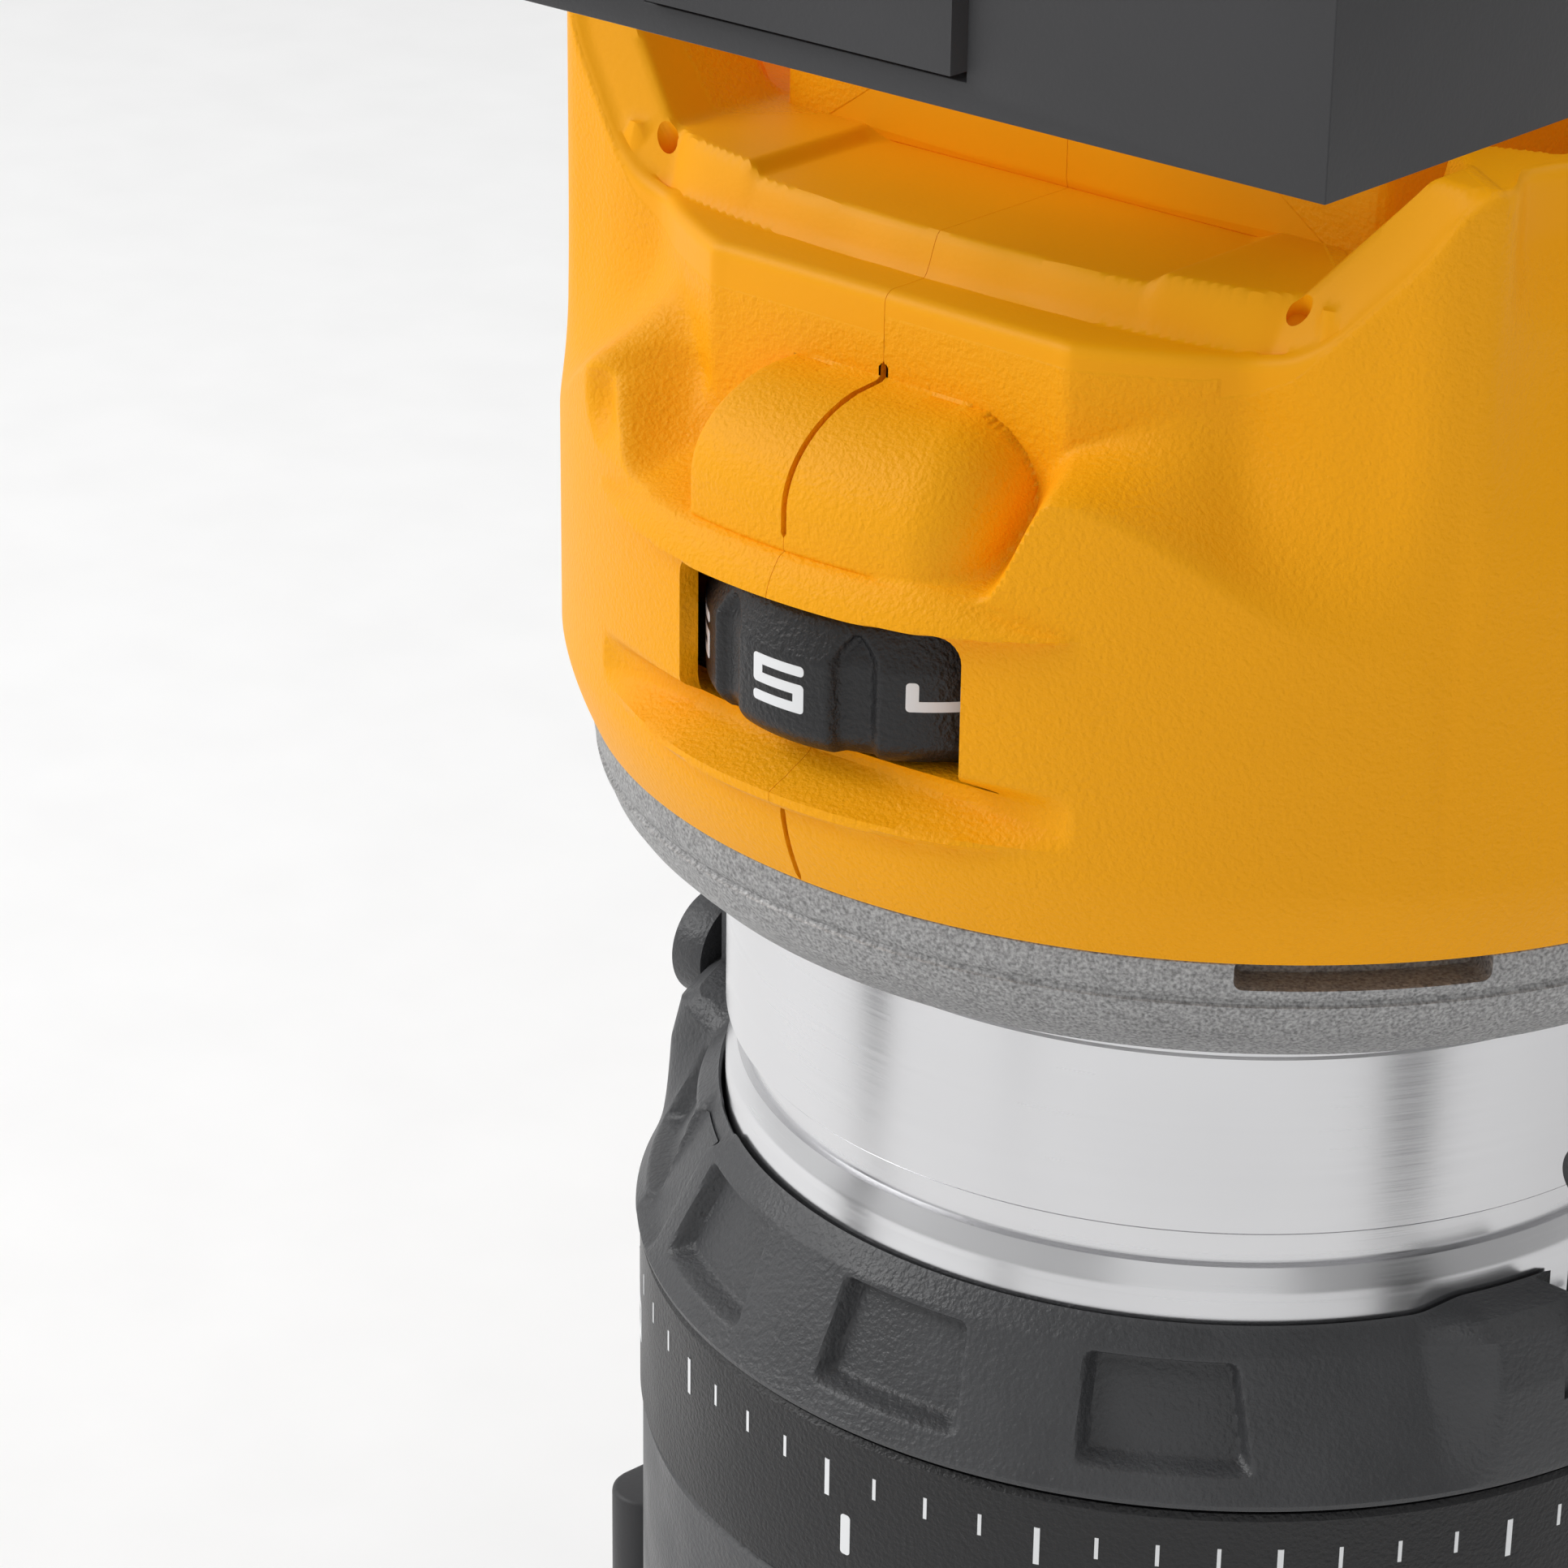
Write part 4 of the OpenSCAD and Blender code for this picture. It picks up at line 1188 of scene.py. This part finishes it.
SCALE_R = 40.6
MARK_TOP = 74.2


def build_scale_ring(look):
    """Scale ring with its raised marks, a longer one at every half number, and its numbers."""
    ink = MATERIALS["dial_print"]
    profile = [(39.06, 63.0), (40.35, 63.0), (SCALE_R, 63.25), (SCALE_R, 76.3), (40.3, 76.7), (39.06, 76.7)]
    ob = lathe("depth_scale_ring", profile, 240, [MATERIALS["dial_plastic"]], 30.0)
    marks = []
    for count, low, half in ((64, 72.6, 0.13), (16, 71.4, 0.2)):
        az = np.degrees(np.array([-half, half]) / SCALE_R)
        outline = ((40.5, low), (40.63, low), (40.63, MARK_TOP), (40.5, MARK_TOP))
        rows = [ring_points(az, np.full(2, radius), np.full(2, z)) for radius, z in outline]
        verts, faces = closed_tube_from_rows(rows, False)
        faces += [(0, 2, 4, 6), (7, 5, 3, 1)]
        mark = new_object("mark", verts, faces, [ink], 30.0)
        step = math.radians(360.0 / count)
        repeat(mark, around_tree(), count=count, first_angle=0.0, step_angle=step, material=ink)
        marks.append(mark)
    for k, digit in enumerate("01234567"):
        marks.append(digit_mesh(digit, DIGIT_STEP * (k - 1), 67.4, SCALE_R, 0.0, [ink]))
    join_into(ob, marks)
    shade(ob, 30.0)
    place(ob, "scale_ring", "dial_plastic", "scale_ring")


def build_release_tabs(look):
    """The two release tabs with softened edges, and their pivot pins."""
    plastic, steel = [MATERIALS["ring_plastic"]], [MATERIALS["bright_steel"]]
    for side in ("left", "right"):
        node = "release_tab_" + side
        ear = bevelled_copy(node, "release_ear_" + side, plastic, 0.45, 3)
        ear.visible_glossy = side == "left"
        place(ear, node, "ring_plastic", node)
    pins = []
    for x, front in ((-PIN_X, -PIN_END), (PIN_X, -9.0)):
        pins.append(cylinder_between("tab_pivot_pins", (x, front, PIN_Z), (x, PIN_END, PIN_Z), 1.0, steel, 32))
    join_into(pins[0], pins[1:])
    shade(pins[0], 30.0)
    pins[0].visible_glossy = False
    place(pins[0], "depth_ring", "bright_steel", "tab_pins")


# ------------------------------------------------------------------ battery


def build_battery(look):
    """The two halves of the battery's case, with grip ribs on both sides."""
    black, yellow, grip = MATERIALS["black_plastic"], MATERIALS["yellow_plain"], MATERIALS["rubber_grip"]
    lower = bevelled_copy("battery_case_lower", "battery_case_lower_shell", [black], 1.0, 3)
    place(lower, "battery", "black_plastic", "battery_case_lower")
    upper = bevelled_copy("battery_case_upper", "battery_case_upper_shell", [yellow], 1.6, 4)
    ribs = []
    for x in ((-38.4, -36.9), (36.9, 38.4)):
        rib = box_mesh("grip_rib", (x[0], -38.0, 192.0), (x[1], -36.2, 208.0), [grip], 0.5)
        ribs.append(repeat(rib, row_tree(), count=16, step=(0.0, 0.0035, 0.0), material=grip))
    join_into(upper, ribs)
    shade(upper, 30.0)
    place(upper, "battery", "yellow_shell", "battery_case_upper")
    # The case lets the light through to the deck under it.
    for ob in (lower, upper):
        ob.visible_shadow = False
        ob.visible_diffuse = False


# ------------------------------------------------------------------ base


def build_base(look):
    """Base casting, sub-base and clamp lever with softened edges."""
    alloy, black = MATERIALS["base_alloy"], MATERIALS["black_plastic"]
    base = bevelled_copy("base_casting", "base_casting_body", [alloy], 0.5, 2)
    place(base, "base", "base_alloy", "base_casting")
    plate = bevelled_copy("sub_base", "sub_base_plate", [black], 0.5, 2)
    place(plate, "base", "black_plastic", "sub_base")
    lever = bevelled_copy("clamp_lever", "clamp_lever_arm", [black], 0.8, 3, 40.0)
    place(lever, "clamp_lever", "black_plastic", "clamp_lever")


def build_screws(look):
    """Socket-headed shell screws in their recesses on the left shell."""
    m = [MATERIALS["bright_steel"]]
    heads = []
    for y, z in SHELL_SCREWS:
        head = cylinder_between("screw", (-21.4, y, z), (-23.4, y, z), 2.6, m, 40)
        socket = cylinder_between("socket", (-22.2, y, z), (-26.0, y, z), 1.4, m, 6)
        boolean(head, [socket], "DIFFERENCE")
        shank = cylinder_between("shank", (-21.6, y, z), (13.0, y, z), 1.55, m, 24)
        heads += [head, shank]
    first = heads.pop(0)
    join_into(first, heads)
    first.name = "shell_screws"
    shade(first, 30.0)
    place(first, "motor_pack", "bright_steel", "housing_screws")


def paint_frame(look):
    """Every CAD node that stays visible gets its slot's procedural finish."""
    chosen = {
        "sub_base_screws": "bright_steel", "guide_pins": "bright_steel", "clamp_bolt": "bright_steel",
        "clamp_nut": "bright_steel", "lever_pin": "bright_steel", "lower_bearing": "tool_steel",
        "stator_core": "lamination", "stator_coils": "copper_wire", "bearing_bridge": "base_alloy",
        "upper_bearing": "tool_steel", "sensor_board": "board_green", "led_lenses": "clear_lens",
        "plate_screws": "bright_steel", "dial_potentiometer": "grey_button", "control_module": "board_green",
        "heat_sink": "base_alloy", "motor_leads": "cell_wrap", "switch_body": "black_plastic",
        "battery_terminals": "black_plastic", "spindle_shaft": "tool_steel", "rotor_core": "lamination",
        "rotor_magnets": "lamination", "cooling_fan": "black_plastic", "collet": "tool_steel",
        "collet_nut": "tool_steel", "spindle_lock": "lock_button", "lock_spring": "bright_steel",
        "tab_pins": "bright_steel", "tab_springs": "bright_steel", "power_switch": "black_plastic",
        "battery_screws": "bright_steel", "battery_cells": "cell_wrap", "battery_contacts": "contact_brass",
        "gauge_board": "board_green", "battery_latch": "black_plastic", "latch_spring": "bright_steel",
        "gauge_button": "grey_button",
    }
    for node, name in chosen.items():
        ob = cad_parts[node]
        ob.data.materials.clear()
        ob.data.materials.append(MATERIALS[name])


# ------------------------------------------------------------------ stage


CAMERA_AT = (0.179433, -0.245136, 0.244967)
CAMERA_RIGHT = (0.74026534, 0.67223481, 0.01037241)
CAMERA_UP = (-0.28129864, 0.29567992, 0.91293179)
CAMERA_BACK = (0.61063762, -0.67872951, 0.40798034)


def aimed(ob, at, target):
    """Puts a light in its place, turned to the target."""
    ob.location = at
    ob.rotation_euler = (Vector(target) - Vector(at)).to_track_quat("-Z", "Y").to_euler()


def soft_light(name, at, target, size, power):
    """A square area light."""
    data = bpy.data.lights.new(name, "AREA")
    data.energy = power
    data.shape = "SQUARE"
    data.size = size
    ob = bpy.data.objects.new(name, data)
    bpy.context.scene.collection.objects.link(ob)
    aimed(ob, at, target)


def dark_card(name, az, dist, width, z0, z1):
    """A narrow black card that only shows as a dark band in the turned metal."""
    a = math.radians(az)
    c = np.array([dist * math.sin(a), -dist * math.cos(a)])
    t = np.array([math.cos(a), math.sin(a)]) * width / 2
    p = [(*(c - t), z0), (*(c + t), z0), (*(c + t), z1), (*(c - t), z1)]
    m = bpy.data.materials.get("black_card")
    if m is None:
        m = bpy.data.materials.new("black_card")
        m.use_nodes = True
        inputs = m.node_tree.nodes["Principled BSDF"].inputs
        inputs["Base Color"].default_value = (0.01, 0.01, 0.01, 1)
        inputs["Roughness"].default_value = 1.0
        inputs["Specular IOR Level"].default_value = 0.0
    ob = new_object(name, p, [(0, 1, 2, 3)], [m])
    ob.visible_camera = False
    ob.visible_diffuse = False
    ob.visible_shadow = False
    ob.visible_transmission = False


def build_stage(look):
    """Camera, pale floor, surround, soft lights and the cards that the turned metal reflects."""
    scene = bpy.context.scene
    scene.view_settings.view_transform = "Standard"
    scene.view_settings.look = "None"
    cam = bpy.data.objects.new("camera", bpy.data.cameras.new("camera"))
    scene.collection.objects.link(cam)
    x, y, b, p = CAMERA_RIGHT, CAMERA_UP, CAMERA_BACK, CAMERA_AT
    cam.matrix_world = Matrix(
        ((x[0], y[0], b[0], p[0]), (x[1], y[1], b[1], p[1]), (x[2], y[2], b[2], p[2]), (0, 0, 0, 1))
    )
    cam.data.lens = 109.58
    cam.data.sensor_width = 36.0
    cam.data.clip_start = 0.01
    cam.data.clip_end = 20.0
    scene.camera = cam
    far, low = 3000, -0.6
    corners = [(-far, -far, low), (far, -far, low), (far, far, low), (-far, far, low)]
    floor = new_object("floor", corners, [(0, 1, 2, 3)], [MATERIALS["floor_board"]])
    world = bpy.data.worlds.new("studio")
    scene.world = world
    world.use_nodes = True
    n, link = world.node_tree.nodes, world.node_tree.links.new
    back = n["Background"]
    at = n.new("ShaderNodeTexCoord")
    split = n.new("ShaderNodeVectorMath")
    split.operation = "DOT_PRODUCT"
    split.inputs[1].default_value = (-0.85, 0.2, 0.15)
    link(at.outputs["Generated"], split.inputs[0])
    ramp = n.new("ShaderNodeMapRange")
    ramp.inputs["From Min"].default_value = -0.9
    ramp.inputs["From Max"].default_value = 0.9
    ramp.inputs["To Min"].default_value = look.world_low
    ramp.inputs["To Max"].default_value = look.world_high
    link(split.outputs["Value"], ramp.inputs["Value"])
    path = n.new("ShaderNodeLightPath")
    mix = n.new("ShaderNodeMix")
    mix.inputs["B"].default_value = 1.0
    link(path.outputs["Is Camera Ray"], mix.inputs["Factor"])
    link(ramp.outputs["Result"], mix.inputs["A"])
    link(mix.outputs["Result"], back.inputs["Strength"])
    back.inputs["Color"].default_value = (1.0, 1.0, 1.0, 1.0)
    target = (0.0, 0.0, 0.12)
    soft_light("key_light", (-0.75, -0.55, 0.75), target, 0.6, look.key_power)
    soft_light("fill_light", (0.6, -0.8, 0.35), target, 0.7, look.fill_power)
    soft_light("top_light", (0.1, 0.3, 1.1), target, 0.8, look.top_power)
    dark_card("card_left", -40.0, 210.0, 24.0, 0.0, 150.0)
    dark_card("card_middle", -4.0, 260.0, 12.0, 0.0, 60.0)
    dark_card("card_right", 78.0, 210.0, 40.0, 0.0, 150.0)


# ------------------------------------------------------------------ add-on


class RouterLookSettings(bpy.types.PropertyGroup):
    """Colours and light of the router."""

    shell_color: bpy.props.FloatVectorProperty(
        name="Shell colour", description="Colour of the head's moulded shells", size=3, subtype="COLOR",
        default=(0.95, 0.395, 0.002), min=0.0, max=1.0,
    )
    ring_color: bpy.props.FloatVectorProperty(
        name="Ring colour", description="Colour of the depth ring and its tabs", size=3, subtype="COLOR",
        default=(0.05, 0.051, 0.054), min=0.0, max=1.0,
    )
    floor_color: bpy.props.FloatVectorProperty(
        name="Floor colour", description="Colour of the floor", size=3, subtype="COLOR",
        default=(0.9, 0.9, 0.9), min=0.0, max=1.0,
    )
    key_power: bpy.props.FloatProperty(
        name="Key light", description="Power of the key light", default=6.0, min=0.0, unit="POWER"
    )
    fill_power: bpy.props.FloatProperty(
        name="Fill light", description="Power of the fill light", default=0.6, min=0.0, unit="POWER"
    )
    top_power: bpy.props.FloatProperty(
        name="Top light", description="Power of the top light", default=3.0, min=0.0, unit="POWER"
    )
    world_low: bpy.props.FloatProperty(
        name="World low", description="Surround strength on the right", default=0.35, min=0.0
    )
    world_high: bpy.props.FloatProperty(
        name="World high", description="Surround strength on the left", default=0.8, min=0.0
    )


class StepBase:
    """What every building step shares."""

    bl_options = {"REGISTER"}

    def execute(self, context):
        type(self).work(context.scene.router_look)
        return {"FINISHED"}


def operator(idname, label, doc, work):
    """One operator class for a piece or a group of like pieces."""
    return type(
        "ROUTER_OT_" + idname,
        (StepBase, bpy.types.Operator),
        {"bl_idname": "router." + idname, "bl_label": label, "__doc__": doc, "work": staticmethod(work)},
    )


STEPS = [
    operator("materials", "Materials", "Make every finish", make_materials),
    operator("stage", "Stage", "Set the camera, floor and lights", build_stage),
    operator("head", "Head shells", "Build the two moulded shells of the head", build_head),
    operator("dial", "Speed dial", "Build the numbered speed dial", build_dial),
    operator("plate", "Front plate", "Build the cast ring under the head", build_plate),
    operator("tube", "Motor tube", "Build the turned motor tube", build_tube),
    operator("depth_ring", "Depth ring", "Build the depth adjuster ring", build_depth_ring),
    operator("scale_ring", "Scale ring", "Build the depth scale ring and its marks", build_scale_ring),
    operator("release_tabs", "Release tabs", "Build the two release ears", build_release_tabs),
    operator("battery", "Battery", "Build the battery's cases and grips", build_battery),
    operator("base", "Base", "Build the base casting, sub-base and clamp lever", build_base),
    operator("screws", "Shell screws", "Build the screws that hold the shells", build_screws),
    operator("frame_paint", "CAD finishes", "Give the remaining CAD nodes their finish", paint_frame),
]


class ROUTER_PT_looks(bpy.types.Panel):
    """Lists the router's building steps"""

    bl_label = "Trim router"
    bl_idname = "ROUTER_PT_looks"
    bl_space_type = "VIEW_3D"
    bl_region_type = "UI"
    bl_category = "Router"

    def draw(self, context):
        for name in RouterLookSettings.__annotations__:
            self.layout.prop(context.scene.router_look, name)
        for step in STEPS:
            self.layout.operator(step.bl_idname)


CLASSES = [RouterLookSettings, *STEPS, ROUTER_PT_looks]


def register():
    """Registers the classes and the settings."""
    for c in CLASSES:
        bpy.utils.register_class(c)
    bpy.types.Scene.router_look = bpy.props.PointerProperty(type=RouterLookSettings)


def unregister():
    """Takes the settings and the classes away again."""
    del bpy.types.Scene.router_look
    for c in reversed(CLASSES):
        bpy.utils.unregister_class(c)


def main():
    """Runs every step in order and writes the sizes before and after."""
    register()
    for step in STEPS:
        getattr(bpy.ops.router, step.bl_idname.split(".")[1])()


if __name__ == "__main__":
    main()
